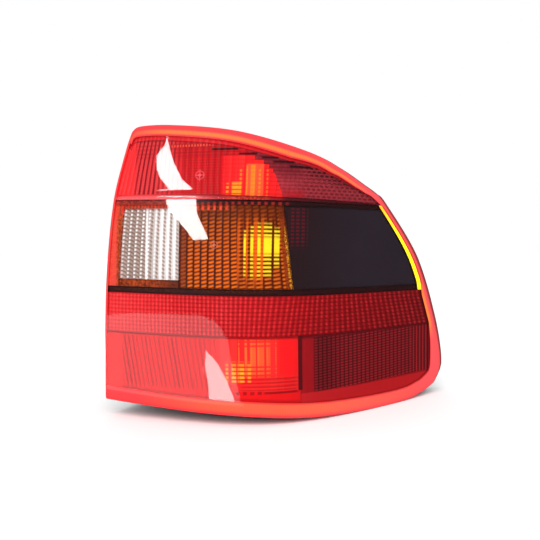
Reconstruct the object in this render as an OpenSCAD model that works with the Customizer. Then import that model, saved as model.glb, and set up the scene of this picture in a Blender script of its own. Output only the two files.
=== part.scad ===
// Rear lamp cluster for the right-hand corner of a hatchback.
// The lens is one moulding made in five colour shots: red, amber, clear, smoke and a bright amber edge.
// Behind it sit a body shell, four metallised bowls, four bulbs and the clip-on bulb holder.
// Frame: X runs to the car's side, Z is up, the lens faces minus Y and the mounting face is Y = 0.

/* [Lens size] */
// Width of the lens seen from behind the car
lens_w = 296; // [285:1:310]
// Height of the lens
lens_h = 284; // [276:1:300]
// Wall thickness of the lens
lens_t = 2.6; // [2:0.1:3.2]
// Width of the rolled rim along the top
rim_w = 11; // [9:0.5:12]
// Width of the rolled rim along the bottom
rim_low_w = 15.5; // [13:0.5:17]
// Width of the rolled rim along the inboard edge
rim_side_w = 3.2; // [3:0.1:4.5]
// Width of the rolled rim along the outboard edge
rim_out_w = 4; // [3.5:0.1:5]
// Width of the rolled rim beside the bright edge strip
rim_wing_w = 2.2; // [2:0.1:3]
// Depth that the rolled rim falls back
rim_roll = 5; // [3:0.5:6]
// Thickness of the skirt that carries the lens back to the body
skirt_t = 2.4; // [2:0.1:2.8]
// Distance of the weld line behind the lens face
weld_back = 24; // [22:0.5:28]

/* [Lens form] */
// Distance from the mounting face to the lens where the corner begins
face_y = 88; // [84:1:96]
// Steepness of the wing where it runs along the car's side
wing_slope = 2.144; // [2.05:0.002:2.2]
// Sideways place of the corner, from the middle of the studs
corner_x = 83.7; // [80:0.5:88]
// Roundness of the corner
corner_r = 56.6; // [50:0.2:64]
// Slight forward lean of the rear face toward the inboard edge
face_tilt = 0.075; // [0.05:0.005:0.1]
// Crown of the lens at its top and bottom edges
crown = 7; // [4:0.5:9]
// Lean of the lens toward the front of the car at the top
lean = 0.03; // [0:0.005:0.04]

/* [Lens zones] */
// Height of the raised rib above the stud middle
rib_z = 64; // [60:0.5:67]
// Height of the raised rib's own band
rib_h = 3.5; // [3:0.1:4.5]
// How far the rib stands out
rib_out = 1.2; // [0.6:0.1:1.6]
// Height of the lower edge of the dark line
dark_z = -24.3; // [-28:0.5:-20]
// Height of the dark line
dark_h = 6; // [4:0.5:8]
// Height of the lower edge of the reflex strip
reflex_z = -62; // [-66:0.5:-58]
// Fall of the zone lines toward the side of the car
zone_fall = 0.012; // [0:0.001:0.02]
// Width of the clear reversing window
clear_w = 68; // [62:1:70]
// Width of the amber border beside the window
border_w = 15.5; // [14:0.5:18]
// Sideways place of the edge between amber and smoke
amber_edge_x = 78; // [74:0.5:82]
// Depth of the optic flutes on the inner face
flute_d = 0.7; // [0.4:0.1:1]
// Depth of the prism rows of the reflex strip
reflex_d = 0.8; // [0.4:0.1:1.2]
// Width of the bright strip at the far end of the wing
edge_w = 3; // [2.5:0.1:4]
// Depth of the pillow rows in the middle band
pillow_d = 0.4; // [0.2:0.1:0.6]

/* [Body] */
// Wall thickness of the body shell
wall_t = 2.6; // [2.2:0.1:3]
// Depth of the shell behind the wing
wing_d = 17; // [15:0.5:20]
// Clearance between the body rim and the lens skirt
weld_gap = 0.2; // [0.1:0.05:0.4]
// Depth of the weld flange behind the skirt
flange_d = 3; // [2.5:0.25:4]
// How far the body steps in from the flange on the side of the car
step_in = 6; // [4:0.5:7]
// Radius of the posts that carry the bowls
post_r = 3.2; // [2.6:0.1:3.6]
// Gap between a post and the bowl that sits on it
seat_gap = 0.2; // [0.1:0.05:0.3]
// Depth of the bulb holder opening's frame inside the body
frame_d = 4; // [3:0.5:5]

/* [Mounting] */
// Spacing of the studs across the car
stud_dx = 146; // [142:1:147]
// Spacing of the studs up the car
stud_dz = 124; // [112:1:132]
// Radius of the stud thread
stud_r = 3; // [2.5:0.25:3.5]
// Length of the stud behind the mounting face
stud_l = 22; // [16:1:28]
// Depth of the stud head's seat below the mounting face
stud_seat = 4; // [3:0.5:5]
// Extra radius of the stud's splined shoulder, which fills its hole in the body
stud_shoulder = 0.5; // [0.3:0.1:0.8]
// Room left round a stud for its nut, where the bulb holder passes close by
nut_room = 1.6; // [1.2:0.1:1.8]
// Thickness of the foam gasket
gasket_t = 4; // [3:0.5:6]
// Width of the foam gasket
gasket_w = 8; // [6:0.5:8]
// Sideways place of the gasket's edge beside the wing
gasket_x = 92; // [91:0.5:93.5]

/* [Bulbs] */
// Radius of the glass envelope
glass_r = 13.2; // [12:0.1:13.5]
// Length of the glass in front of the cap
glass_l = 35; // [32:0.5:37]
// Radius of the bayonet cap
cap_r = 7.5; // [7:0.1:8]
// Length of the bayonet cap
cap_l = 18; // [16:0.5:19]
// Clearance round a cap in its socket
cap_gap = 0.2; // [0.1:0.05:0.3]

/* [Bowls] */
// Wall thickness of the metallised bowls
bowl_t = 1.6; // [1.2:0.1:2]
// Distance of the bowl edge behind the lens face
bowl_back = 14; // [12:0.5:18]
// Gap between neighbouring bowls
bowl_gap = 1; // [0.8:0.1:1.6]

/* [Bulb holder] */
// Thickness of the holder plate
plate_t = 3; // [2.4:0.1:3.6]
// Thickness of the seal under the plate
seal_t = 2; // [1.5:0.25:3]
// Thickness of the brass strips
strip_t = 0.8; // [0.6:0.1:1]

/* [Hidden] */
$fn = 64;
BULBS = ["tail", "indicator", "reverse", "fog"];

red_plastic = [0.80, 0.06, 0.08];
amber_plastic = [0.85, 0.38, 0.05];
clear_plastic = [0.85, 0.84, 0.82];
smoke_plastic = [0.10, 0.07, 0.09];
edge_plastic = [0.95, 0.72, 0.08];
grey_plastic = [0.22, 0.22, 0.24];
white_plastic = [0.80, 0.80, 0.78];
bright_metal = [0.86, 0.87, 0.88];
brass_metal = [0.80, 0.62, 0.28];
zinc_metal = [0.66, 0.67, 0.69];
foam = [0.12, 0.12, 0.12];
bulb_glass = [0.92, 0.94, 0.95];

// Every drawn length scales with the lens size, so the insides follow the outline.
kx = lens_w / 296;
kz = lens_h / 284;
left_x = -102 * kx;
bulb_x = [0 * kx, 15 * kx, -49 * kx, 8 * kx];
bulb_z = [90 * kz, 22 * kz, 22 * kz, -94 * kz];

// Lens face: a nearly flat rear face that turns round the corner into the wing.
function bend(u) = wing_slope / 2 * (u - corner_x + sqrt(pow(u - corner_x, 2) + corner_r * corner_r));
function bend_slope(u) = wing_slope / 2 * (1 + (u - corner_x) / sqrt(pow(u - corner_x, 2) + corner_r * corner_r));
function plan_y(x) = bend(x / kx) - bend(52) - face_tilt * (x / kx - 52) - face_y;
function plan_slope(x) = (bend_slope(x / kx) - face_tilt) / kx;
function face(x, z) = plan_y(x) + crown * pow(z / 130, 2) + lean * z;
function unit3(v) = v / norm(v);
function face_normal(x, z) = unit3([-plan_slope(x), 1, -crown * 2 * z / 16900 - lean]);

// Smooth outline through a few drawn points.
function blend4(a, b, c, d, t) = 0.5 * (2 * b + (c - a) * t + (2 * a - 5 * b + 4 * c - d) * t * t
    + (3 * b - a - 3 * c + d) * t * t * t);
function spline(p, n) = concat([for (i = [0:len(p) - 2], j = [0:n - 1])
    blend4(p[max(i - 1, 0)], p[i], p[i + 1], p[min(i + 2, len(p) - 1)], j / n)], [p[len(p) - 1]]);
function sized(p) = [for (q = p) [q[0] * kx, q[1] * kz]];
function flip(p) = [for (q = p) [q[1], q[0]]];
inboard = sized([[-102, -129], [-99.5, -72], [-96.5, 0], [-90.3, 68], [-80, 115.3], [-74.4, 132.6]]);
top_edge = sized([[-74.4, 132.6], [-66, 136.8], [-31, 136], [31.5, 128], [88.4, 111], [112.5, 97.3],
    [130, 83]]);
outboard = sized([[188.8, -133], [193.5, -121], [194.8, -108], [188.6, -60], [172.3, 9], [146.3, 65],
    [138.4, 75.6], [130, 83]]);
bottom_edge = sized([[-102, -129], [-19, -134], [49.4, -137.5], [108, -143.6], [157, -145.3], [177, -141],
    [188.8, -133]]);
inboard_t = spline(inboard, 6);
top_t = spline(top_edge, 6);
outboard_t = spline(outboard, 6);
bottom_t = spline(bottom_edge, 6);
function inboard_x(z) = lookup(z, flip(inboard_t));
function top_z(x) = lookup(x, top_t);
function outboard_x(z) = lookup(z, flip(outboard_t));
function bottom_z(x) = lookup(x, bottom_t);
outline = concat([for (i = [0:len(bottom_t) - 2]) bottom_t[i]],
    [for (i = [0:len(outboard_t) - 2]) outboard_t[i]],
    [for (i = [len(top_t) - 1:-1:1]) top_t[i]],
    [for (i = [len(inboard_t) - 1:-1:1]) inboard_t[i]]);
function inward(p, i, d) = let (n = len(p), e = p[(i + 1) % n] - p[i], g = p[i] - p[(i + n - 1) % n],
    u = e / norm(e), v = g / norm(g), a = [-u[1] - v[1], u[0] + v[0]])
    p[i] + a * (2 * d / (a * a));
function inset(p, d) = [for (i = [0:len(p) - 1]) let (q = inward(p, i, d))
    if (min([for (v = p) norm(q - v)]) > 0.96 * d) q];

// Inner border of the rim, where the lens face proper begins.
function slanted(w, rise) = w * sqrt(1 + rise * rise / 4);
function top_in(x) = top_z(x) - slanted(rim_w, top_z(x + 1) - top_z(x - 1));
function bottom_in(x) = bottom_z(x) + slanted(rim_low_w, bottom_z(x + 1) - bottom_z(x - 1));
function out_w(z) = rim_out_w + (rim_wing_w - rim_out_w) * min(1, max(0, (z / kz - dark_z + 8) / 16));
function outboard_in(z) = outboard_x(z) - slanted(out_w(z), outboard_x(z + 1) - outboard_x(z - 1));
function inboard_in(z) = inboard_x(z) + rim_side_w;
corner_tl = [inboard_in(124 * kz), top_in(inboard_in(124 * kz))];
corner_tr = last(top_edge) - [rim_out_w, rim_out_w];
corner_bl = [inboard_in(-113 * kz), bottom_in(inboard_in(-113 * kz))];
corner_br = last(bottom_edge) + [-rim_out_w, rim_low_w];
function last(p) = p[len(p) - 1];

// Columns across the lens: border, clear window, amber field, wing and its bright edge.
clear_x = left_x + border_w * kx;
amber_x = clear_x + clear_w * kx;
wing_x = amber_edge_x * kx;
tip_x = 188 * kx;
strip_x = tip_x - edge_w * kx;
function steps(a, b, n) = [for (i = [0:n - 1]) a + (b - a) * i / n];
border_n = 2;
clear_n = 12;
amber_n = 18;
wing_n = 26;
strip_n = 1;
columns = concat(steps(left_x + rim_side_w, clear_x, border_n), steps(clear_x, amber_x, clear_n),
    steps(amber_x, wing_x, amber_n), steps(wing_x, strip_x, wing_n), steps(strip_x, tip_x, strip_n), [tip_x]);
c_clear = border_n;
c_amber = c_clear + clear_n;
c_wing = c_amber + amber_n;
c_strip = c_wing + wing_n;
nc = len(columns) - 1;

// Rows up the lens: each is a share of the band between two zone lines.
lower_n = 5;
reflex_n = 6;
mid_n = 6;
upper_n = 5;
window_lo = 13.2 * kz;
window_hi = 8.4 * kz;
border_h = 6.6 * kz;
mid_h = rib_z - dark_z;
rows = concat([for (i = [0:lower_n - 1]) [0, i / lower_n]],
    [for (i = [0:reflex_n - 1]) [1, i / reflex_n]],
    [[2, 0], [2, dark_h / mid_h]],
    [for (i = [0:mid_n - 1]) [2, (window_lo + (mid_h - window_lo - window_hi) * i / mid_n) / mid_h]],
    [[2, 1 - window_hi / mid_h], [2, 1 - 4.6 * kz / mid_h]],
    [[3, 0], [3, 0.02], [3, 0.06 * rib_h / 3.5], [3, 0.08 * rib_h / 3.5]],
    [for (i = [1:upper_n]) [3, 0.08 + 0.92 * i / upper_n]]);
r_reflex = lower_n;
r_dark = r_reflex + reflex_n;
r_border = r_dark + 1;
r_window = r_border + 1;
r_top_border = r_window + mid_n;
r_top_dark = r_top_border + 1;
r_rib = r_top_dark + 1;
nr = len(rows) - 1;

// Where a column lies between the two ends of its row.
function across(x, lo, hi) = x < amber_x
    ? amber_x - (amber_x - x) * (amber_x - lo) / (amber_x - columns[0])
    : x > wing_x ? wing_x + (x - wing_x) * (hi - wing_x) / (tip_x - wing_x) : x;
function near_in(x) = max(0, (amber_x - x) / (amber_x - columns[0]));
function near_out(x) = max(0, (x - wing_x) / (tip_x - wing_x));
function zone_line(k, x) = [0, reflex_z * kz, dark_z * kz, rib_z * kz][k] - zone_fall * (x - 52);
function line_in(k) = [inboard_in(zone_line(k, left_x)), zone_line(k, left_x)];
function line_out(k) = let (z = zone_line(k, tip_x - 10)) [outboard_in(z), z];
function slant(x, z) = x - 0.1 * (z - 22 * kz) * max(0, 1 - abs(x - wing_x) / (60 * kx));
function border_point(k, x) =
    k == 0 ? let (u = across(x, corner_bl[0], corner_br[0]))
        [u, bottom_in(u) + near_out(x) * (corner_br[1] - bottom_in(corner_br[0]))] :
    k == 4 ? let (u = across(x, corner_tl[0], corner_tr[0]))
        [u, top_in(u) + near_out(x) * (corner_tr[1] - top_in(corner_tr[0]))] :
    let (a = line_in(k), b = line_out(k), u = across(x, a[0], b[0]), s = k > 1 ? slant(u, zone_line(k, u)) : u)
        [s, a[1] + (b[1] - a[1]) * (s - a[0]) / (b[0] - a[0])];
function end_in(k) = k == 0 ? corner_bl : k == 4 ? corner_tl : line_in(k);
function end_out(k) = k == 0 ? corner_br : k == 4 ? corner_tr : line_out(k);
function side_in(k, w) = let (a = end_in(k), b = end_in(k + 1), z = a[1] + (b[1] - a[1]) * w)
    [inboard_in(z) + (1 - w) * (a[0] - inboard_in(a[1])) + w * (b[0] - inboard_in(b[1])), z];
function side_out(k, w) = let (a = end_out(k), b = end_out(k + 1), z = a[1] + (b[1] - a[1]) * w)
    [outboard_in(z) + (1 - w) * (a[0] - outboard_in(a[1])) + w * (b[0] - outboard_in(b[1])), z];
function patch_point(k, w, x) =
    let (lo = border_point(k, x), hi = border_point(k + 1, x), m = lo + (hi - lo) * w,
        li = border_point(k, columns[0]), hi_in = border_point(k + 1, columns[0]),
        lo_out = border_point(k, tip_x), hi_out = border_point(k + 1, tip_x),
        fix_in = side_in(k, w) - (li + (hi_in - li) * w),
        fix_out = side_out(k, w) - (lo_out + (hi_out - lo_out) * w))
    m + near_in(x) * fix_in + near_out(x) * fix_out;
grid = [for (r = rows) [for (x = columns) r[1] == 0
    ? border_point(r[0], x) : r[1] == 1 ? border_point(r[0] + 1, x) : patch_point(r[0], r[1], x)]];

// The outline's own points, one for each point round the border of the grid.
function loop_index(k) = k < nc ? [k, 0] : k < nc + nr ? [nc, k - nc]
    : k < 2 * nc + nr ? [2 * nc + nr - k, nr] : [0, 2 * (nc + nr) - k];
nl = 2 * (nc + nr);
function outer_z(k, w, lo, hi, mid) = k == 0 ? lo + (mid[0] - lo) * w : k == 3 ? mid[2] + (hi - mid[2]) * w
    : mid[k - 1] + (mid[k] - mid[k - 1]) * w;
in_z = [for (k = [1:3]) line_in(k)[1]];
out_z = [for (k = [1:3]) line_out(k)[1]];
function outer_point(k) = let (i = loop_index(k), c = i[0], r = i[1])
    r == 0 ? let (u = across(columns[c], bottom_edge[0][0], last(bottom_edge)[0])) [u, bottom_z(u)] :
    r == nr ? let (u = across(columns[c], top_edge[0][0], last(top_edge)[0])) [u, top_z(u)] :
    c == 0 ? let (z = outer_z(rows[r][0], rows[r][1], inboard[0][1], last(inboard)[1], in_z)) [inboard_x(z), z] :
    let (z = outer_z(rows[r][0], rows[r][1], outboard[0][1], last(outboard)[1], out_z)) [outboard_x(z), z];
rim = [for (k = [0:nl - 1]) outer_point(k)];
rim_in = [for (k = [0:nl - 1]) let (i = loop_index(k)) grid[i[1]][i[0]]];
function rolled(k, s) = let (p = rim_in[k] + (rim[k] - rim_in[k]) * s,
    h = min(rim_roll, 0.8 * norm(rim[k] - rim_in[k])))
    [p[0], face(p[0], p[1]) + h * (1 - sqrt(max(0, 1 - s * s))), p[1]];
function skirt_in(k) = rim[k] + (rim_in[k] - rim[k]) * min(0.8, skirt_t / norm(rim[k] - rim_in[k]));

// Face and back of the grid. The rib stands out of the face, the flutes stand out of the back.
function on_rib(c, r) = columns[c] < wing_x - 4 && (r == r_rib + 1 || r == r_rib + 2);
function face_point(c, r) = let (p = grid[r][c]) [p[0], face(p[0], p[1]) - (on_rib(c, r) ? rib_out : 0), p[1]];
function thickness(c, r) = lens_t + (c % 2 == 1 ? flute_d : 0)
    + (r > r_window && r < r_top_border && r % 2 == 0 ? pillow_d : 0)
    + (r > r_reflex && r < r_dark && (r - r_reflex) % 2 == 1 ? reflex_d : 0);
function back_point(c, r) = let (p = grid[r][c], q = [p[0], face(p[0], p[1]), p[1]])
    q + face_normal(p[0], p[1]) * thickness(c, r);
function at(c, r) = r * (nc + 1) + c;
n_grid = (nc + 1) * (nr + 1);
roll_steps = [0.45, 0.8, 1];
n_roll = len(roll_steps);
lens_points = concat(
    [for (r = [0:nr], c = [0:nc]) face_point(c, r)],
    [for (r = [0:nr], c = [0:nc]) back_point(c, r)],
    [for (s = roll_steps, k = [0:nl - 1]) rolled(k, s)],
    [for (k = [0:nl - 1]) [rim[k][0], plan_y(rim[k][0]) + weld_back, rim[k][1]]],
    [for (k = [0:nl - 1]) let (p = skirt_in(k)) [p[0], plan_y(p[0]) + weld_back, p[1]]],
    [for (k = [0:nl - 1]) let (p = skirt_in(k)) [p[0], face(p[0], p[1]) + rim_roll * 0.8 + lens_t, p[1]]]);
function ring_at(j, k) = 2 * n_grid + j * nl + k % nl;

// Which colour shot owns a cell of the grid.
RED = 1;
AMBER = 2;
CLEAR = 3;
SMOKE = 4;
EDGE = 5;
function shot(c, r) =
    c < 0 || r < 0 || c >= nc || r >= nr ? RED :
    r < r_dark || r >= r_rib ? RED :
    c >= c_strip ? EDGE :
    r == r_dark || r == r_top_dark || c >= c_wing ? SMOKE :
    c >= c_clear && c < c_amber && r >= r_window && r < r_top_border ? CLEAR : AMBER;
function quad(a, b, c, d) = [[a, b, c], [a, c, d]];
function cell_faces(s, c, r) = let (o = 0, n = n_grid)
    concat(quad(o + at(c, r), o + at(c, r + 1), o + at(c + 1, r + 1), o + at(c + 1, r)),
        quad(n + at(c, r), n + at(c + 1, r), n + at(c + 1, r + 1), n + at(c, r + 1)),
        shot(c - 1, r) == s ? [] : quad(n + at(c, r), n + at(c, r + 1), at(c, r + 1), at(c, r)),
        shot(c + 1, r) == s ? [] : quad(at(c + 1, r), at(c + 1, r + 1), n + at(c + 1, r + 1), n + at(c + 1, r)),
        shot(c, r - 1) == s ? [] : quad(at(c, r), at(c + 1, r), n + at(c + 1, r), n + at(c, r)),
        shot(c, r + 1) == s ? [] : quad(at(c + 1, r + 1), at(c, r + 1), n + at(c, r + 1), n + at(c + 1, r + 1)));
function border_at(k) = let (i = loop_index(k % nl)) at(i[0], i[1]);
function border_cell(k) = let (a = loop_index(k), b = loop_index((k + 1) % nl))
    [min(a[0], b[0], nc - 1), min(a[1], b[1], nr - 1)];
function ring_faces(k) = let (cell = border_cell(k), a = border_at(k), b = border_at(k + 1))
    concat(quad(a, b, ring_at(0, k + 1), ring_at(0, k)),
        [for (j = [0:n_roll + 1], f = quad(ring_at(j, k), ring_at(j, k + 1), ring_at(j + 1, k + 1), ring_at(j + 1, k))) f],
        quad(ring_at(n_roll + 2, k), ring_at(n_roll + 2, k + 1), n_grid + b, n_grid + a),
        shot(cell[0], cell[1]) == RED ? [] : quad(b, a, n_grid + a, n_grid + b));
module lens_shot(s) {
    faces = concat([for (r = [0:nr - 1], c = [0:nc - 1]) if (shot(c, r) == s) each cell_faces(s, c, r)],
        s == RED ? [for (k = [0:nl - 1]) each ring_faces(k)] : []);
    polyhedron(points = lens_points, faces = faces);
}
module lens_red() { color(red_plastic) lens_shot(RED); }
module lens_amber() { color(amber_plastic) lens_shot(AMBER); }
module lens_clear() { color(clear_plastic) lens_shot(CLEAR); }
module lens_smoke() { color(smoke_plastic) lens_shot(SMOKE); }
module lens_amber_edge() { color(edge_plastic) lens_shot(EDGE); }

// Body shell: plan profiles drawn from above, cut to the outline seen from behind.
plan_n = 36;
plan_xs = [for (i = [0:plan_n]) left_x - 6 + (tip_x + 16 - left_x) * i / plan_n];
function front_line(d) = [for (x = plan_xs) [x, plan_y(x) + d]];
function behind(x, d) = let (s = plan_slope(x), n = [-s, 1] / norm([-s, 1])) [x, plan_y(x) + weld_back] + n * d;
function back_line(d, y) = concat([for (i = [plan_n:-1:0]) let (p = behind(plan_xs[i], d)) if (p[1] > y + 1) p],
    [let (q = [for (x = plan_xs) let (p = behind(x, d)) if (p[1] > y + 1) p]) [q[0][0] - 0.6, y]],
    [[plan_xs[0], y]]);
module from_above(profile, z0, z1) {
    translate([0, 0, z0]) linear_extrude(z1 - z0) polygon(profile);
}
module from_behind(points, y0, y1) {
    translate([0, y1, 0]) rotate([90, 0, 0]) linear_extrude(y1 - y0) polygon(points);
}
module along_y(x, y, z) { translate([x, y, z]) rotate([-90, 0, 0]) children(); }
module plate_xz(x0, x1, z0, z1, y0, y1, r) {
    from_behind([for (a = [0:15:345]) [a < 90 || a >= 270 ? x1 - r : x0 + r, a < 180 ? z1 - r : z0 + r]
        + r * [cos(a), sin(a)]], y0, y1);
}
holder = [-69 * kx, 37 * kx, -114 * kz, 110 * kz];
seat = 7;
function stud_x(i) = (i % 2 == 0 ? -1 : 1) * stud_dx / 2 * kx;
function stud_z(i) = (i < 2 ? -1 : 1) * stud_dz / 2 * kz;
// The body keeps the outline all round but steps in behind the flange on the side of the car.
module stepped(d) {
    intersection() {
        from_behind(inset(outline, d), -140, 200);
        translate([-step_in * kx, 0, 0]) from_behind(inset(outline, d), -141, 201);
    }
}
function flange_line() = [for (i = [plan_n:-1:0]) [plan_xs[i], plan_y(plan_xs[i]) + weld_back + weld_gap + flange_d]];
module housing() {
    color(grey_plastic) difference() {
        union() {
            intersection() {
                from_above(concat(front_line(weld_back + weld_gap), back_line(wing_d, 0)), -200, 200);
                difference() {
                    union() {
                        stepped(0.4);
                        intersection() {
                            from_behind(inset(outline, 0.8), -140, 200);
                            from_above(concat(front_line(weld_back), flange_line()), -199, 199);
                        }
                    }
                    intersection() {
                        stepped(0.4 + wall_t);
                        from_above(concat(front_line(-20), back_line(wing_d - wall_t, -wall_t)), -201, 201);
                    }
                }
            }
            for (i = [0:3]) along_y(stud_x(i), -14, stud_z(i)) cylinder(r = 7.5, h = 12);
            plate_xz(holder[0] + 1, holder[1] - 1, holder[2] + 1, holder[3] - 1, -wall_t - frame_d, -1, 9);
            for (p = posts) along_y(p[0], floor_y + seat_gap, p[1]) cylinder(r = post_r, h = -1 - floor_y);
        }
        plate_xz(holder[0] + seat, holder[1] - seat, holder[2] + seat, holder[3] - seat, -30, 10, 5);
        for (i = [0:3]) {
            along_y(stud_x(i), -20, stud_z(i)) cylinder(r = stud_r + stud_shoulder + 0.1, h = 30);
            along_y(stud_x(i), -15, stud_z(i)) cylinder(r = stud_r * 1.8, h = 15 - stud_seat);
        }
    }
}

// Posts on the back wall, two under each bowl.
posts = [[-66 * kx, 90 * kz], [60 * kx, 90 * kz], [62 * kx, 42 * kz], [62 * kx, 2 * kz],
    [-78 * kx, 44 * kz], [-78 * kx, 0], [-86 * kx, -95 * kz], [62 * kx, -95 * kz]];

// Foam ring between the body and the car's panel, and the studs that clamp it.
module body_gasket() {
    color(foam) difference() {
        gasket_sheet(2, gasket_x * kx, 0.1, 0.1 + gasket_t);
        gasket_sheet(2 + gasket_w, gasket_x * kx - gasket_w, -1, gasket_t + 1);
        for (i = [0:3]) along_y(stud_x(i), -1, stud_z(i)) cylinder(r = stud_r + 0.5, h = gasket_t + 2);
    }
}
module gasket_sheet(d, x1, y0, y1) {
    intersection() {
        from_behind(inset(outline, d), y0, y1);
        translate([left_x - 10, y0 - 1, -200]) cube([x1 - left_x + 10, y1 - y0 + 2, 400]);
    }
}
module stud(i) {
    color(zinc_metal) {
        along_y(stud_x(i), -stud_seat - 2, stud_z(i)) cylinder(r = stud_r * 1.7, h = 2);
        along_y(stud_x(i), -stud_seat - 0.5, stud_z(i)) cylinder(r = stud_r + stud_shoulder, h = stud_seat + 0.5);
        along_y(stud_x(i), -1, stud_z(i)) cylinder(r = stud_r, h = stud_l + 1);
    }
}

// Metallised bowls: a tray open to the lens with a turned bowl round its bulb.
bowl_x = [[left_x + 10 * kx, 74 * kx], [amber_x + bowl_gap, 74 * kx], [left_x + 17 * kx, amber_x - bowl_gap],
    [left_x + 7 * kx, 84 * kx]];
bowl_z = [[66 * kz, 122 * kz], [-14 * kz, 58 * kz], [-14 * kz, 58 * kz], [-124 * kz, -66 * kz]];
bowl_r = [22, 30, 22, 26];
floor_y = -46;
hole_y = -9;
module bowl_form(i, t) {
    r = bowl_r[i] - 2 + t;
    along_y(bulb_x[i], hole_y, bulb_z[i]) mirror([0, 0, 1]) rotate_extrude()
        polygon(concat([[0, 0]], [for (a = [0:10:90]) [cap_r + 5 + t + (r - cap_r - 5) * sin(a),
            (-floor_y + hole_y) * (1 - cos(a))]], [[0, -floor_y + hole_y]]));
}
tray_n = 18;
function tray_profile(i, d, back) = let (a = bowl_x[i][0] + d, b = bowl_x[i][1] - d)
    concat([for (j = [0:tray_n]) let (x = a + (b - a) * j / tray_n) [x, plan_y(x) + back]],
        [[b, floor_y - d], [a, floor_y - d]]);
module tray_space(i, d, back) {
    if (i > 0) from_above(tray_profile(i, d, back), bowl_z[i][0] + d, bowl_z[i][1] - d);
    else intersection() {
        from_above(tray_profile(i, d, back), bowl_z[i][0] + d, bowl_z[i][1] - d);
        from_behind(inset(outline, 12 + d), -200, 0);
    }
}
module reflector(i) {
    color(bright_metal) difference() {
        union() {
            tray_space(i, 0, bowl_back);
            bowl_form(i, bowl_t);
        }
        tray_space(i, bowl_t, bowl_back - 9);
        translate([0, -0.02, 0]) bowl_form(i, 0);
        along_y(bulb_x[i], hole_y - 20, bulb_z[i]) cylinder(r = cap_r + 5, h = 40);
    }
}

// Bayonet bulbs: the cap sits in the holder, the glass stands in the bowl.
cap_y = -6;
module bulb_glass_part(i) {
    color(bulb_glass) along_y(bulb_x[i], cap_y - 0.1, bulb_z[i]) mirror([0, 0, 1]) rotate_extrude()
        polygon(concat([[0, 0], [cap_r - 1.2, 0], [cap_r - 0.8, 4]],
            [for (a = [-40:10:90]) [glass_r * cos(a), glass_l - glass_r + glass_r * sin(a)]]));
}
module bulb_cap(i) {
    color(brass_metal) {
        along_y(bulb_x[i], cap_y, bulb_z[i]) cylinder(r = cap_r, h = cap_l - 2);
        along_y(bulb_x[i], cap_y + cap_l - 2.5, bulb_z[i]) cylinder(r1 = cap_r * 0.6, r2 = 2.5, h = 2.5);
    }
}

// Clip-on holder with a boss for each bulb, two snap arms and the connector shroud.
plate_y = seal_t;
socket_y = plate_y + plate_t;
plug_x = -26 * kx;
plug_z = -58 * kz;
plug_w = 44;
plug_h = 15;
plug_d = 20;
pins = 5;
pin_pitch = 7.5;
boss_r = cap_r + 3.6;
module bulb_carrier() {
    color(white_plastic) difference() {
        union() {
            plate_xz(holder[0], holder[1], holder[2], holder[3], plate_y, plate_y + plate_t, 10);
            for (i = [0:3]) along_y(bulb_x[i], -4, bulb_z[i]) cylinder(r = boss_r, h = cap_y + cap_l + 6);
            plate_xz(plug_x - plug_w / 2, plug_x + plug_w / 2, plug_z - plug_h / 2, plug_z + plug_h / 2,
                plate_y + 1, socket_y + plug_d, 3);
            for (s = [-1, 1], z = [-40 * kz, 65 * kz]) translate([hold_mid, 0, z]) snap_arm(s);
            for (z = [holder[2] + 8, holder[3] - 8]) translate([holder[0] + 12, socket_y - 0.5, z - 1.2])
                cube([holder[1] - holder[0] - 24, 3.5, 2.4]);
            for (x = [holder[0] + 8, holder[1] - 8]) translate([x - 1.2, socket_y - 0.5, holder[2] + 12])
                cube([2.4, 3.5, holder[3] - holder[2] - 24]);
            for (s = [-1, 1]) translate([hold_mid - 11, socket_y - 0.5, (s > 0 ? holder[3] - 8 : holder[2] + 4)])
                cube([22, 9, 4]);
        }
        for (i = [0:3]) along_y(bulb_x[i], -10, bulb_z[i]) cylinder(r = cap_r + cap_gap, h = cap_y + cap_l + 10.2);
        plate_xz(plug_x - plug_w / 2 + 1.8, plug_x + plug_w / 2 - 1.8, plug_z - plug_h / 2 + 1.8,
            plug_z + plug_h / 2 - 1.8, socket_y + 0.8, socket_y + plug_d + 1, 2);
        for (p = [0:pins - 1]) translate([pin_at(p) - 1.5, -5, plug_z - 0.7]) cube([3, 20, 1.4]);
        nut_clearance();
    }
}
module nut_clearance() {
    for (i = [0:3]) along_y(stud_x(i), -1, stud_z(i)) cylinder(r = stud_r + nut_room, h = stud_l + 1);
}
hold_mid = (holder[0] + holder[1]) / 2;
arm_x = (holder[1] - holder[0]) / 2 - seat - 5;
module snap_arm(s) {
    hook_y = -wall_t - frame_d - 0.4;
    translate([0, 0, -7]) linear_extrude(14) polygon([[s * arm_x, plate_y + 1], [s * arm_x, -12],
        [s * (arm_x + 3), -12], [s * (arm_x + 6.4), -8.6], [s * (arm_x + 6.4), hook_y], [s * (arm_x + 3), hook_y],
        [s * (arm_x + 3), plate_y + 1]]);
}
function pin_at(p) = plug_x + (p - (pins - 1) / 2) * pin_pitch;
module carrier_seal() {
    color(foam) difference() {
        plate_xz(holder[0] + 1, holder[1] - 1, holder[2] + 1, holder[3] - 1, 0.1, seal_t - 0.1, 9);
        plate_xz(holder[0] + seat - 1, holder[1] - seat + 1, holder[2] + seat - 1, holder[3] - seat + 1,
            -1, seal_t + 1, 5);
        nut_clearance();
    }
}

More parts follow.
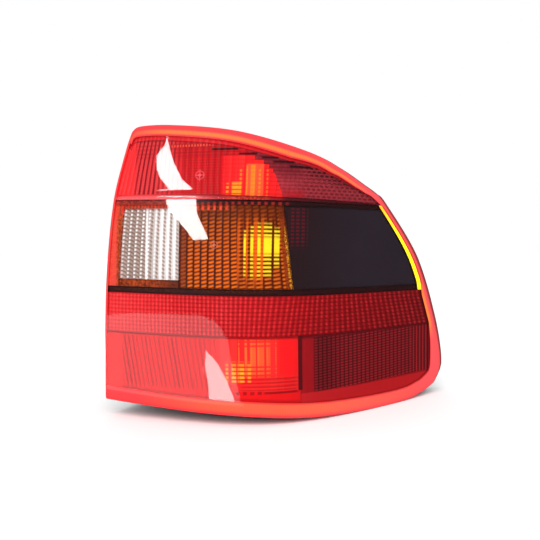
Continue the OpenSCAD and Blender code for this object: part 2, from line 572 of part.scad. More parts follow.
// Brass strips under the plate, each ending in a blade inside the connector.
strip_y = plate_y - strip_t;
module strip(points, p) {
    for (j = [0:len(points) - 2]) {
        a = points[j];
        b = points[j + 1];
        translate([min(a[0], b[0]) - 1.2, strip_y, min(a[1], b[1]) - 1.2])
            cube([abs(a[0] - b[0]) + 2.4, strip_t, abs(a[1] - b[1]) + 2.4]);
    }
    translate([pin_at(p) - 1.2, strip_y, plug_z - strip_t / 2]) cube([2.4, socket_y + plug_d - 5 - strip_y, strip_t]);
}
pin_of = [1, 2, 0, 4];
function contact_path(i) = let (b = [bulb_x[i], bulb_z[i]], x = pin_at(pin_of[i]), reach = boss_r + 0.2)
    i == 2 ? [[x, plug_z], [x, b[1] - 24], [b[0], b[1] - 24], [b[0], b[1] - reach - 1.2]] :
    [[x, plug_z], [x, b[1]], [b[0] - reach - 1.2, b[1]]];
module contact(i) { color(brass_metal) strip(contact_path(i), pin_of[i]); }
module contact_earth() {
    x = bulb_x[1] + boss_r + 1.4;
    color(brass_metal) strip([[pin_at(3), plug_z], [pin_at(3), -12 * kz], [x, -12 * kz], [x, 42 * kz]], 3);
}

lens_red();
lens_amber();
lens_clear();
lens_smoke();
lens_amber_edge();
housing();
body_gasket();
bulb_carrier();
carrier_seal();
contact_earth();
for (i = [0:3]) {
    reflector(i);
    bulb_glass_part(i);
    bulb_cap(i);
    contact(i);
    stud(i);
}
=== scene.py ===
# %% [markdown]
# # Dressing a rear lamp cluster
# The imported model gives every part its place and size. This lesson adds the finish of the real one.
# The star of the lamp is its lens: one clear-skinned moulding in five colours, smooth outside and covered
# with optics inside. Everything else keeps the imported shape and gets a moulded, plated or foamed finish.

import math

import bpy
import mathutils
import numpy as np
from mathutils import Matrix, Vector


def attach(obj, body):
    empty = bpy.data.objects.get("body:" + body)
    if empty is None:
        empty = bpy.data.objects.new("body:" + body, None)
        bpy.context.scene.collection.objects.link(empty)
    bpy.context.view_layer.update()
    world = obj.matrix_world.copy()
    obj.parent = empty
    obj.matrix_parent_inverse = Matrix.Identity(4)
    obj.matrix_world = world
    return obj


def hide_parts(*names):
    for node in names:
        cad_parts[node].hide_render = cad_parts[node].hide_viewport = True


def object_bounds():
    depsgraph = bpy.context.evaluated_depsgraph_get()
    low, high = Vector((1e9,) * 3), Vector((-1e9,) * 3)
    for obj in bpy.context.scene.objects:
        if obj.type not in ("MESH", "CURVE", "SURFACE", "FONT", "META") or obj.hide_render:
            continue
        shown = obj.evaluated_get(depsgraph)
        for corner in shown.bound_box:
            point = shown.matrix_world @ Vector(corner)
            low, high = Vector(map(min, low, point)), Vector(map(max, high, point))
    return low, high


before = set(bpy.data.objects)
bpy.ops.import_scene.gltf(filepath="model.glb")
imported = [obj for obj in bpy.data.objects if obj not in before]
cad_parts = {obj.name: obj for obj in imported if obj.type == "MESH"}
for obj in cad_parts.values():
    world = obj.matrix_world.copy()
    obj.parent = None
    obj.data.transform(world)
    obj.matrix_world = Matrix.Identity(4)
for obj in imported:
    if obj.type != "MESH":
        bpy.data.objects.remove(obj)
cad_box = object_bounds()
BODY = "root"
MM = 0.001
print("packed box", [[round(v, 4) for v in corner] for corner in cad_box])

# %% [markdown]
# ## The form of the lens
# A lamp lens is drawn as a plan curve seen from above and an outline seen from behind the car.
# The same few numbers that shaped the solid are used here, so the dressed lens lands exactly on it.

# %% Plan curve and face
WING_SLOPE, CORNER_X, CORNER_R, FACE_TILT, FACE_Y = 2.144, 83.7, 56.6, 0.075, 88.0
CROWN, CROWN_Z, LEAN = 7.0, 130, 0.03
LENS_T, RIM_ROLL, SKIRT_T, WELD_BACK = 2.6, 5.0, 2.4, 24.0
RIM_W, RIM_LOW_W, RIM_SIDE_W, RIM_OUT_W, RIM_WING_W = 11.0, 15.5, 3.2, 4.0, 2.2


def bend(x):
    return WING_SLOPE / 2 * (x - CORNER_X + np.sqrt((x - CORNER_X) ** 2 + CORNER_R ** 2))


def plan_y(x):
    return bend(x) - bend(52.0) - FACE_TILT * (x - 52) - FACE_Y


def plan_slope(x):
    return WING_SLOPE / 2 * (1 + (x - CORNER_X) / np.sqrt((x - CORNER_X) ** 2 + CORNER_R ** 2)) - FACE_TILT


def face_y(x, z):
    return plan_y(x) + CROWN * (z / CROWN_Z) ** 2 + LEAN * z


def inward(x, z):
    """Unit vector from the face into the lens wall."""
    n = np.stack([-plan_slope(x), np.ones_like(x), -CROWN * 2 * z / CROWN_Z ** 2 - LEAN], axis=-1)
    return n / np.linalg.norm(n, axis=-1, keepdims=True)


print("face runs from y =", round(float(plan_y(-100.0)), 1), "to", round(float(plan_y(190.0)), 1), "mm")

# %% Outline seen from behind the car
SPAN_STEPS = 24


def spline(points):
    """Smooth curve through the drawn points, as a table of x and z."""
    p = np.array(points, float)
    rows = []
    for i in range(len(p) - 1):
        a, b, c, d = p[max(i - 1, 0)], p[i], p[i + 1], p[min(i + 2, len(p) - 1)]
        t = np.linspace(0, 1, SPAN_STEPS, endpoint=False)[:, None]
        rows.append(0.5 * (2 * b + (c - a) * t + (2 * a - 5 * b + 4 * c - d) * t ** 2
                           + (3 * b - a - 3 * c + d) * t ** 3))
    rows.append(p[-1:])
    return np.concatenate(rows)


INBOARD = [(-102, -129), (-99.5, -72), (-96.5, 0), (-90.3, 68), (-80, 115.3), (-74.4, 132.6)]
TOP = [(-74.4, 132.6), (-66, 136.8), (-31, 136), (31.5, 128), (88.4, 111), (112.5, 97.3), (130, 83)]
OUTBOARD = [(188.8, -133), (193.5, -121), (194.8, -108), (188.6, -60), (172.3, 9), (146.3, 65), (138.4, 75.6),
            (130, 83)]
BOTTOM = [(-102, -129), (-19, -134), (49.4, -137.5), (108, -143.6), (157, -145.3), (177, -141), (188.8, -133)]
inboard_t, top_t, outboard_t, bottom_t = spline(INBOARD), spline(TOP), spline(OUTBOARD), spline(BOTTOM)


def inboard_x(z):
    return np.interp(z, inboard_t[:, 1], inboard_t[:, 0])


def outboard_x(z):
    return np.interp(z, outboard_t[:, 1], outboard_t[:, 0])


def top_z(x):
    return np.interp(x, top_t[:, 0], top_t[:, 1])


def bottom_z(x):
    return np.interp(x, bottom_t[:, 0], bottom_t[:, 1])


def slanted(width, rise):
    return width * np.sqrt(1 + rise * rise / 4)


def top_in(x):
    return top_z(x) - slanted(RIM_W, top_z(x + 1) - top_z(x - 1))


def bottom_in(x):
    return bottom_z(x) + slanted(RIM_LOW_W, bottom_z(x + 1) - bottom_z(x - 1))


def outboard_in(z):
    width = RIM_OUT_W + (RIM_WING_W - RIM_OUT_W) * np.clip((z + 24.3 + 8) / 16, 0, 1)
    return outboard_x(z) - slanted(width, outboard_x(z + 1) - outboard_x(z - 1))


def inboard_in(z):
    return inboard_x(z) + RIM_SIDE_W


print("outline is", round(outboard_t[:, 0].max() - inboard_t[:, 0].min(), 1), "mm wide and",
      round(top_t[:, 1].max() - bottom_t[:, 1].min(), 1), "mm tall")

# %% [markdown]
# ## The zones of the lens
# The lens is laid out like a sheet of cloth that is stretched over the outline: columns run across it and
# rows run up it, in four bands between the zone lines. Any zone is then a patch with its own stitch size.

# %% Columns, bands and corners
FIRST_X, CLEAR_X, AMBER_X, WING_X, STRIP_X, TIP_X = -98.8, -86.5, -18.5, 78.0, 185.0, 188.0
LEFT_X = -102.0
RIB_Z, DARK_Z, REFLEX_Z, ZONE_FALL, RIB_OUT = 64.0, -24.3, -62.0, 0.012, 1.2
MID_H = RIB_Z - DARK_Z
DARK_W, WINDOW_W, TOP_BORDER_W, TOP_DARK_W = 6 / MID_H, 13.2 / MID_H, 1 - 8.4 / MID_H, 1 - 4.6 / MID_H
RIB_W = 0.08
TOP_CORNER_Z, LOW_CORNER_Z = 124.0, -113.0
corner_tl = (inboard_in(TOP_CORNER_Z), top_in(inboard_in(TOP_CORNER_Z)))
corner_bl = (inboard_in(LOW_CORNER_Z), bottom_in(inboard_in(LOW_CORNER_Z)))
corner_tr = (TOP[-1][0] - RIM_OUT_W, TOP[-1][1] - RIM_OUT_W)
corner_br = (BOTTOM[-1][0] - RIM_OUT_W, BOTTOM[-1][1] + RIM_LOW_W)


def across(x, lo, hi):
    left = AMBER_X - (AMBER_X - x) * (AMBER_X - lo) / (AMBER_X - FIRST_X)
    right = WING_X + (x - WING_X) * (hi - WING_X) / (TIP_X - WING_X)
    return np.where(x < AMBER_X, left, np.where(x > WING_X, right, x))


def near_in(x):
    return np.maximum(0, (AMBER_X - x) / (AMBER_X - FIRST_X))


def near_out(x):
    return np.maximum(0, (x - WING_X) / (TIP_X - WING_X))


def zone_line(k, x):
    return (0, REFLEX_Z, DARK_Z, RIB_Z)[k] - ZONE_FALL * (x - 52)


def line_in(k):
    z = zone_line(k, LEFT_X)
    return inboard_in(z), z


def line_out(k):
    z = zone_line(k, TIP_X - 10)
    return outboard_in(z), z


def end_in(k):
    return corner_bl if k == 0 else corner_tl if k == 4 else line_in(k)


def end_out(k):
    return corner_br if k == 0 else corner_tr if k == 4 else line_out(k)


# %% Patches between the zone lines
def border_point(k, x):
    """Point of zone line k for a column; line 0 is the lower rim and line 4 the upper rim."""
    if k in (0, 4):
        a, b = end_in(k), end_out(k)
        u = across(x, a[0], b[0])
        edge = bottom_in if k == 0 else top_in
        return u, edge(u) + near_out(x) * (b[1] - edge(b[0]))
    a, b = line_in(k), line_out(k)
    u = across(x, a[0], b[0])
    if k > 1:
        u = u - 0.1 * (zone_line(k, u) - 22) * np.maximum(0, 1 - np.abs(u - WING_X) / 60)
    return u, a[1] + (b[1] - a[1]) * (u - a[0]) / (b[0] - a[0])


def side(k, w, ends, edge):
    a, b = ends(k), ends(k + 1)
    z = a[1] + (b[1] - a[1]) * w
    return edge(z) + (1 - w) * (a[0] - edge(a[1])) + w * (b[0] - edge(b[1])), z


def patch(k, w, x):
    """Points of band k for rows w (0 to 1) and columns x, as two grids of x and z."""
    w = np.asarray(w, float)[:, None]
    x = np.asarray(x, float)[None, :]
    ends = []
    for column in (x, np.full((1, 1), FIRST_X), np.full((1, 1), TIP_X)):
        lo, hi = border_point(k, column), border_point(k + 1, column)
        ends.append([lo[i] + (hi[i] - lo[i]) * w for i in (0, 1)])
    fix_in, fix_out = side(k, w, end_in, inboard_in), side(k, w, end_out, outboard_in)
    return [ends[0][i] + near_in(x) * (fix_in[i] - ends[1][i]) + near_out(x) * (fix_out[i] - ends[2][i])
            for i in (0, 1)]


for k, zone in enumerate(("lower red", "reflex", "middle", "upper red")):
    px, pz = patch(k, [0, 1], [FIRST_X, TIP_X])
    print(f"{zone:10s} x {px.min():7.1f} to {px.max():6.1f}   z {pz.min():7.1f} to {pz.max():6.1f}")

# %% [markdown]
# ## Building meshes from grids
# A moulding is easiest to keep exact when its points are computed and handed to Blender in one go.
# A shell gathers the pieces of one moulding, with a material number and two notes for the paint:
# `lay` says where a point is within its row of prisms, and `cell` says which prism a facet belongs to.

# %% A shell that gathers parts
class Shell:
    def __init__(self):
        self.points, self.faces, self.slots, self.smooth, self.lay, self.cell = [], [], [], [], [], []
        self.count = 0

    def add(self, points, faces, slot, lay=None, cell=None, smooth=True):
        points = np.asarray(points, float).reshape(-1, 3)
        self.points.append(points)
        self.faces += [tuple(int(i) + self.count for i in f) for f in faces]
        self.slots += [slot] * len(faces)
        self.smooth += [smooth] * len(faces)
        self.lay.append(np.zeros((len(points), 3)) if lay is None else np.asarray(lay, float).reshape(-1, 3))
        self.cell.append(np.zeros((len(faces), 3)) if cell is None else np.asarray(cell, float).reshape(-1,
                                                                                                        3))
        self.count += len(points)

    def build(self, name, materials):
        mesh = bpy.data.meshes.new(name)
        points = np.clip(np.concatenate(self.points) * MM, cad_box[0], cad_box[1])
        mesh.from_pydata(points.tolist(), [], self.faces)
        for material in materials:
            mesh.materials.append(material)
        mesh.polygons.foreach_set("material_index", self.slots)
        mesh.polygons.foreach_set("use_smooth", self.smooth)
        lay = mesh.attributes.new("lay", "FLOAT_VECTOR", "POINT")
        lay.data.foreach_set("vector", np.concatenate(self.lay).ravel())
        cell = mesh.attributes.new("cell", "FLOAT_VECTOR", "FACE")
        cell.data.foreach_set("vector", np.concatenate(self.cell).ravel())
        mesh.update()
        obj = bpy.data.objects.new(name, mesh)
        bpy.context.scene.collection.objects.link(obj)
        return obj


def grid_faces(rows, cols, flip=False):
    """Faces of a grid of points; unflipped they face the viewer of the lens."""
    r, c = np.meshgrid(np.arange(rows - 1), np.arange(cols - 1), indexing="ij")
    a = (r * cols + c).ravel()
    quad = np.stack([a, a + 1, a + cols + 1, a + cols], axis=1)
    return quad[:, ::-1] if flip else quad


# %% [markdown]
# ## Optics on the inner face
# Real lenses are lined with flutes, pillows and tiny corner prisms that spread the bulb's light. They repeat
# thousands of times and follow the bent face, which is a rule, so a Geometry Nodes tree raises them: it reads
# how far a point lies through its prism, works out the height there and pushes the point along the normal.

# %% The relief tree
def relief_tree():
    tree = bpy.data.node_groups.new("Lens optics", "GeometryNodeTree")
    face = tree.interface
    face.new_socket("Geometry", in_out="INPUT", socket_type="NodeSocketGeometry")
    for name in ("Height across", "Height up", "Peak"):
        face.new_socket(name, in_out="INPUT", socket_type="NodeSocketFloat")
    face.new_socket("Material", in_out="INPUT", socket_type="NodeSocketMaterial")
    face.new_socket("Geometry", in_out="OUTPUT", socket_type="NodeSocketGeometry")
    new, link = tree.nodes.new, tree.links.new
    source, sink = new("NodeGroupInput"), new("NodeGroupOutput")
    lay = new("GeometryNodeInputNamedAttribute")
    lay.data_type = "FLOAT_VECTOR"
    lay.inputs["Name"].default_value = "lay"
    split = new("ShaderNodeSeparateXYZ")
    link(lay.outputs["Attribute"], split.inputs[0])

    def math_node(operation, a, b=None):
        node = new("ShaderNodeMath")
        node.operation = operation
        for socket, value in zip(node.inputs, (a, b)):
            if isinstance(value, (int, float)):
                socket.default_value = value
            elif value is not None:
                link(value, socket)
        return node.outputs[0]

    def swell(through):
        """Height share over one prism: a round pillow, or a peak, or a mix of both."""
        t = math_node("MULTIPLY_ADD", math_node("FRACT", through), 2.0)
        t.node.inputs[2].default_value = -1.0
        round_top = math_node("SUBTRACT", 1.0, math_node("MULTIPLY", t, t))
        sharp_top = math_node("SUBTRACT", 1.0, math_node("ABSOLUTE", t))
        mix = new("ShaderNodeMix")
        link(source.outputs["Peak"], mix.inputs[0])
        link(round_top, mix.inputs[2])
        link(sharp_top, mix.inputs[3])
        return mix.outputs[0]

    rise = math_node("ADD", math_node("MULTIPLY", swell(split.outputs[0]), source.outputs["Height across"]),
                     math_node("MULTIPLY", swell(split.outputs[1]), source.outputs["Height up"]))
    rise = math_node("MULTIPLY", rise, split.outputs[2])
    push = new("ShaderNodeVectorMath")
    push.operation = "SCALE"
    link(new("GeometryNodeInputNormal").outputs[0], push.inputs[0])
    link(rise, push.inputs["Scale"])
    kinds = ("SetPosition", "RealizeInstances", "SetMaterial")
    move, real, paint = (new("GeometryNode" + kind) for kind in kinds)
    link(source.outputs["Geometry"], move.inputs["Geometry"])
    link(push.outputs[0], move.inputs["Offset"])
    link(move.outputs[0], real.inputs[0])
    link(real.outputs[0], paint.inputs["Geometry"])
    link(source.outputs["Material"], paint.inputs["Material"])
    link(paint.outputs[0], sink.inputs[0])
    return tree


RELIEF = relief_tree()
print("relief tree has", len(RELIEF.nodes), "nodes")


# %% Laying out and raising one patch of optics
def cells(start, end, pitch, steps):
    """Places along a row of prisms, and how far through its prism each place is."""
    count = max(1, round((end - start) / pitch))
    through = np.append((np.arange(count)[:, None] + np.array(steps)[None, :]).ravel(), count)
    return start + (end - start) * through / count, through


PILLOW_STEPS = (0, 0.1, 0.3, 0.5, 0.7, 0.9)
ROW_STEPS = (0, 0.15, 0.5, 0.85)
PRISM_STEPS = (0, 0.25, 0.5, 0.75)
PLAIN_STEPS = (0,)
SKIN_GAP = 0.05  # mm between the skin and the front of a wall
luck = np.random.default_rng(11)


def raise_optics(shell, slot, material, k, rows, cols, heights, smooth=True):
    """Adds one patch of optics and the wall round it to a shell. rows and cols are (from, to, pitch, steps)."""
    w, v = cells(*rows)
    x, u = cells(*cols)
    px, pz = patch(k, w, x)
    back = np.stack([px, face_y(px, pz), pz], axis=-1) + inward(px, pz) * LENS_T
    fade = np.ones(px.shape)
    fade[[0, -1], :] = 0
    fade[:, [0, -1]] = 0
    lay = np.stack([np.broadcast_to(u, px.shape), np.broadcast_to(v[:, None], px.shape), fade], axis=-1)
    quads = grid_faces(*px.shape, flip=True)
    iu = np.floor((u[:-1] + u[1:]) / 2).astype(int)
    iv = np.floor((v[:-1] + v[1:]) / 2).astype(int)
    centre_x = np.array([np.interp(i + 0.5, u, x) for i in range(int(u[-1]))])
    centre_w = np.array([np.interp(j + 0.5, v, w) for j in range(int(v[-1]))])
    cx, cz = patch(k, centre_w, centre_x)
    chance = luck.random(cx.shape)
    cell = np.stack([g[np.ix_(iv, iu)] for g in (cx, cz, chance)], axis=-1)
    bed = Shell()
    bed.add(back, quads, 0, lay, cell, smooth)
    obj = bed.build("optics_bed", [material])
    modifier = obj.modifiers.new("optics", "NODES")
    modifier.node_group = RELIEF
    sockets = {s.name: s.identifier for s in RELIEF.interface.items_tree if s.in_out == "INPUT"}
    for name, value in zip(("Height across", "Height up", "Peak"), heights):
        modifier[sockets[name]] = value * (MM if name != "Peak" else 1.0)
    modifier[sockets["Material"]] = material
    raised = bpy.data.meshes.new_from_object(obj.evaluated_get(bpy.context.evaluated_depsgraph_get()))
    points = np.empty(len(raised.vertices) * 3)
    raised.vertices.foreach_get("co", points)
    bpy.data.objects.remove(obj)
    bpy.data.meshes.remove(raised)
    shell.add(points.reshape(-1, 3) / MM, quads, slot, lay, cell, smooth)
    wall_round(shell, slot, px, pz, back, lay)
    return len(quads)


def wall_round(shell, slot, px, pz, back, lay):
    """The wall of one colour shot, from the face back to the edge of its optics."""
    rows, cols = px.shape
    loop = [(0, c) for c in range(cols)] + [(r, cols - 1) for r in range(1, rows)]
    loop += [(rows - 1, c) for c in range(cols - 2, -1, -1)] + [(r, 0) for r in range(rows - 2, 0, -1)]
    r, c = np.array(loop).T
    front = np.stack([px[r, c], face_y(px[r, c], pz[r, c]), pz[r, c]], axis=-1) + inward(px[r, c],
                                                                                         pz[r, c]) * SKIN_GAP
    points = np.concatenate([front, back[r, c]])
    n = len(loop)
    quads = [(i, i + n, (i + 1) % n + n, (i + 1) % n) for i in range(n)]
    shell.add(points, quads, slot, np.concatenate([lay[r, c]] * 2))


# %% [markdown]
# ## The smooth outer skin
# Outside, all five colours share one polished face, a raised rib above the middle band and a rim that rolls
# over into the skirt. The skin is a coarse grid, because a smooth face needs few points.

# %% Skin of the face
def span(*stops):
    """Even steps between stops: (value, steps to the next one), ..., value."""
    out = []
    for (a, n), b in zip(stops[:-1], [s[0] if isinstance(s, tuple) else s for s in stops[1:]]):
        out += list(a + (b - a) * np.arange(n) / n)
    return np.array(out + [stops[-1]], float)


SKIN_X = span((FIRST_X, 5), (CLEAR_X, 18), (AMBER_X, 30), (WING_X - 5, 2), (WING_X, 40), (STRIP_X, 2), TIP_X)
SKIN_W = [span((0, 12), 1), span((0, 6), 1), span((0, 2), (DARK_W, 12), (TOP_DARK_W, 2), 1),
          span((0, 2), (0.02, 2), (0.06, 2), (RIB_W, 12), 1)]
RED, AMBER, CLEAR, SMOKE, EDGE = range(5)


def shot_of(k, w, x):
    """Which colour shot a place on the lens belongs to."""
    if k != 2:
        return RED
    if x > STRIP_X:
        return EDGE
    if w < DARK_W or w > TOP_DARK_W or x > WING_X:
        return SMOKE
    return CLEAR if CLEAR_X < x < AMBER_X and WINDOW_W < w < TOP_BORDER_W else AMBER


def rib_height(w, x):
    """The raised rib: a flat-topped ridge that dies away at the edge of the wing."""
    up = np.clip(w / 0.02, 0, 1) * np.clip((RIB_W - w) / 0.02, 0, 1)
    return RIB_OUT * np.minimum(1, 1.5 * up)[:, None] * np.clip((WING_X - x) / 3, 0, 1)[None, :]


def skin_points(k, w, x):
    px, pz = patch(k, w, x)
    y = face_y(px, pz)
    if k == 3:
        y = y - rib_height(np.asarray(w), np.asarray(x))
    return np.stack([px, y, pz], axis=-1)


def add_skin(shells):
    for k, w in enumerate(SKIN_W):
        x = SKIN_X
        if k == 2:
            w = np.sort(np.append(w, [WINDOW_W, TOP_BORDER_W]))
        grid = skin_points(k, w, x)
        quads = grid_faces(len(w), len(x)).reshape(len(w) - 1, len(x) - 1, 4)
        mids = [(shot_of(k, (w[r] + w[r + 1]) / 2, (x[c] + x[c + 1]) / 2), r, c)
                for r in range(len(w) - 1) for c in range(len(x) - 1)]
        for shot, shell in enumerate(shells):
            own = np.array([quads[r, c] for s, r, c in mids if s == shot])
            if len(own):
                used, flat = np.unique(own, return_inverse=True)
                shell.add(grid.reshape(-1, 3)[used], flat.reshape(-1, 4), 0)


# %% Rolled rim and skirt
ROLL = (0.0, 0.12, 0.28, 0.45, 0.62, 0.77, 0.89, 0.96, 1.0)


def outer_height(k, w, lo, hi, mids):
    stops = [lo] + [m[1] for m in mids] + [hi]
    return stops[k] + (stops[k + 1] - stops[k]) * w


def rim_loops():
    """Inner and outer line of the rim, all the way round from the lower inboard corner."""
    inner, outer = [], []
    x = SKIN_X
    inner.append(np.stack(border_point(0, x), axis=-1)[:-1])
    u = across(x, BOTTOM[0][0], BOTTOM[-1][0])
    outer.append(np.stack([u, bottom_z(u)], axis=-1)[:-1])
    mids_out, mids_in = [line_out(k) for k in (1, 2, 3)], [line_in(k) for k in (1, 2, 3)]
    for k in range(4):
        w = SKIN_W[k][:-1]
        inner.append(np.stack(side(k, w, end_out, outboard_in), axis=-1))
        z = outer_height(k, w, OUTBOARD[0][1], OUTBOARD[-1][1], mids_out)
        outer.append(np.stack([outboard_x(z), z], axis=-1))
    x = SKIN_X[::-1]
    inner.append(np.stack(border_point(4, x), axis=-1)[:-1])
    u = across(x, TOP[0][0], TOP[-1][0])
    outer.append(np.stack([u, top_z(u)], axis=-1)[:-1])
    for k in (3, 2, 1, 0):
        w = SKIN_W[k][::-1][:-1]
        inner.append(np.stack(side(k, w, end_in, inboard_in), axis=-1))
        z = outer_height(k, w, INBOARD[0][1], INBOARD[-1][1], mids_in)
        outer.append(np.stack([inboard_x(z), z], axis=-1))
    return np.concatenate(inner), np.concatenate(outer)


def add_rim(shell, slot):
    inner, outer = rim_loops()
    width = np.linalg.norm(outer - inner, axis=1)
    drop = np.minimum(RIM_ROLL, 0.8 * width)
    seat = outer + (inner - outer) * np.minimum(0.8, SKIRT_T / width)[:, None]
    along = np.concatenate([[0], np.cumsum(np.linalg.norm(np.diff(outer, axis=0), axis=1))])
    rings, marks = [], []
    for s in ROLL:
        p = inner + (outer - inner) * s
        rings.append(np.stack([p[:, 0], face_y(p[:, 0], p[:, 1]) + drop * (1 - math.sqrt(max(0, 1 - s * s))),
                               p[:, 1]], axis=-1))
        marks.append(s)
    weld = plan_y(outer[:, 0]) + WELD_BACK
    top = rings[-1][:, 1]
    for s in (0.3, 0.65, 1.0):
        rings.append(np.stack([outer[:, 0], top + (weld - top) * s, outer[:, 1]], axis=-1))
        marks.append(1 + s)
    rings.append(np.stack([seat[:, 0], plan_y(seat[:, 0]) + WELD_BACK, seat[:, 1]], axis=-1))
    rings.append(np.stack([seat[:, 0], face_y(seat[:, 0], seat[:, 1]) + RIM_ROLL * 0.8 + LENS_T, seat[:, 1]],
                          axis=-1))
    rings.append(np.stack([inner[:, 0], face_y(inner[:, 0], inner[:, 1]), inner[:, 1]], axis=-1)
                 + inward(inner[:, 0], inner[:, 1]) * LENS_T)
    marks += [2.2, 2.5, 3.0]
    n = len(inner)
    points = np.concatenate(rings)
    lay = np.concatenate([np.stack([along, np.full(n, m), np.ones(n)], axis=-1) for m in marks])
    quads = [(j * n + i, j * n + (i + 1) % n, (j + 1) * n + (i + 1) % n, (j + 1) * n + i)
             for j in range(len(rings) - 1) for i in range(n)]
    shell.add(points, [q[::-1] for q in quads], slot, lay)
    return along[-1]


# %% [markdown]
# ## Paint kit
# Procedural paint is arithmetic on places. One small class wraps a socket so that sums can be written as
# Python expressions, and one method makes any other node.

# %% Sockets that take part in sums
def srgb(r, g, b):
    """Scene colour of a colour read off a screen, 0 to 255."""
    return tuple((v / 255 / 12.92 if v / 255 <= 0.04045 else ((v / 255 + 0.055) / 1.055) ** 2.4)
                 for v in (r, g, b)) + (1.0,)


class Sum:
    def __init__(self, paint, socket):
        self.paint, self.socket = paint, socket

    def _op(self, operation, *values, clamp=False):
        node = self.paint.node("ShaderNodeMath", {"operation": operation, "use_clamp": clamp})
        for socket, value in zip(node.inputs, values):
            self.paint.feed(socket, value)
        return Sum(self.paint, node.outputs[0])

    def __add__(self, other):
        return self._op("ADD", self, other)

    def __radd__(self, other):
        return self._op("ADD", other, self)

    def __sub__(self, other):
        return self._op("SUBTRACT", self, other)

    def __rsub__(self, other):
        return self._op("SUBTRACT", other, self)

    def __mul__(self, other):
        return self._op("MULTIPLY", self, other)

    def __rmul__(self, other):
        return self._op("MULTIPLY", other, self)

    def __truediv__(self, other):
        return self._op("DIVIDE", self, other)

    def __pow__(self, other):
        return self._op("POWER", self, other)

    def __abs__(self):
        return self._op("ABSOLUTE", self)

    def fract(self):
        return self._op("FRACT", self)

    def floor(self):
        return self._op("FLOOR", self)

    def sine(self):
        return self._op("SINE", self)

    def least(self, other):
        return self._op("MINIMUM", self, other)

    def most(self, other):
        return self._op("MAXIMUM", self, other)

    def clamp(self):
        return self._op("ADD", self, 0.0, clamp=True)

    def above(self, level, soft=0.001):
        """0 below the level, 1 above it, with a ramp as wide as soft round it."""
        return ((self - level) / soft + 0.5).clamp()

    def below(self, level, soft=0.001):
        return ((level - self) / soft + 0.5).clamp()

    def within(self, low, high, soft=0.001):
        return self.above(low, soft) * self.below(high, soft)

    def groove(self, width):
        """1 in the groove between two prisms, 0 over the rest of each prism."""
        through = self.fract()
        return (1 - through.least(1 - through) / width).clamp()


class Paint:
    """One material while it is being mixed."""

    def __init__(self, name):
        self.material = bpy.data.materials.new(name)
        self.material.use_nodes = True
        self.tree = self.material.node_tree
        self.tree.nodes.clear()
        self.out = self.node("ShaderNodeOutputMaterial")

    def find(self, sockets, key):
        for socket in sockets:
            if key in (socket.identifier, socket.name):
                return socket
        raise KeyError(key)

    def feed(self, socket, value):
        if isinstance(value, Sum):
            value = value.socket
        if isinstance(value, bpy.types.NodeSocket):
            self.tree.links.new(value, socket)
        elif value is not None:
            socket.default_value = value

    def node(self, kind, settings=None, inputs=None):
        node = self.tree.nodes.new(kind)
        for key, value in (settings or {}).items():
            setattr(node, key, value)
        for key, value in (inputs or {}).items():
            self.feed(self.find(node.inputs, key), value)
        return node

    def mix(self, share, low, high):
        """A colour between two others, each a socket or three numbers read off a screen."""
        low, high = (srgb(*tint) if isinstance(tint, tuple) else tint for tint in (low, high))
        node = self.node("ShaderNodeMix", {"data_type": "RGBA"},
                         {"Factor_Float": share, "A_Color": low, "B_Color": high})
        return self.find(node.outputs, "Result_Color")

    def over(self, share, coat):
        """Lays a coat over a share of the colour so far."""
        self.colour = self.mix(share, self.colour, coat)

    def place(self):
        """Object coordinates in millimetres."""
        split = self.node("ShaderNodeSeparateXYZ", inputs={
            "Vector": self.node("ShaderNodeTexCoord").outputs["Object"]})
        return [Sum(self, s) * 1000 for s in split.outputs]

    def note(self, name):
        """The three numbers of a mesh attribute."""
        read = self.node("ShaderNodeAttribute", {"attribute_name": name})
        split = self.node("ShaderNodeSeparateXYZ", inputs={"Vector": read.outputs["Vector"]})
        return [Sum(self, s) for s in split.outputs]

    def noise(self, scale, detail=3.0, stretch=(1, 1, 1)):
        """Cloudy numbers round 0.5, with scale in waves a metre."""
        spread = self.node("ShaderNodeMapping", inputs={
            "Vector": self.node("ShaderNodeTexCoord").outputs["Object"], "Scale": stretch})
        node = self.node("ShaderNodeTexNoise", inputs={
            "Vector": spread.outputs[0], "Scale": scale, "Detail": detail})
        return Sum(self, self.find(node.outputs, "Fac"))

    def bump(self, height, strength, distance=0.001):
        return self.node("ShaderNodeBump", inputs={
            "Height": height, "Strength": strength, "Distance": distance}).outputs[0]

    def finish(self, shader):
        self.feed(self.out.inputs["Surface"], shader)
        return self.material

    def principled(self, **inputs):
        names = {key.replace("_", " "): value for key, value in inputs.items()}
        return self.finish(self.node("ShaderNodeBsdfPrincipled", inputs=names).outputs[0])


# %% [markdown]
# ## Finish of the skin
# Polished acrylic lets nearly all light through and mirrors a little of it, more at a glancing angle.
# A Fresnel mix of a see-through and a mirror shader does that at no cost, with faint ripples as moulded.

# %% Skin material
def clear_finish(name, waves, depth, mirror, rough, tint, ior):
    """Clear and glossy. waves are the ripples' scale and detail, depth is their strength and distance."""
    paint = Paint(name)
    normal = paint.bump(paint.noise(*waves), *depth)
    gloss = paint.node("ShaderNodeBsdfAnisotropic",
                       inputs={"Color": mirror, "Roughness": rough, "Normal": normal})
    through = paint.node("ShaderNodeBsdfTransparent", inputs={"Color": tint})
    share = paint.node("ShaderNodeFresnel", inputs={"IOR": ior})
    return paint.finish(paint.node("ShaderNodeMixShader", inputs={
        "Fac": share.outputs[0], "Shader": through.outputs[0], "Shader_001": gloss.outputs[0]}).outputs[0])


SKIN = clear_finish("polished acrylic skin", (9.0, 1.0), (0.02, 0.002), (1, 1, 1, 1), 0.03, (1, 1, 1, 1),
                    1.49)

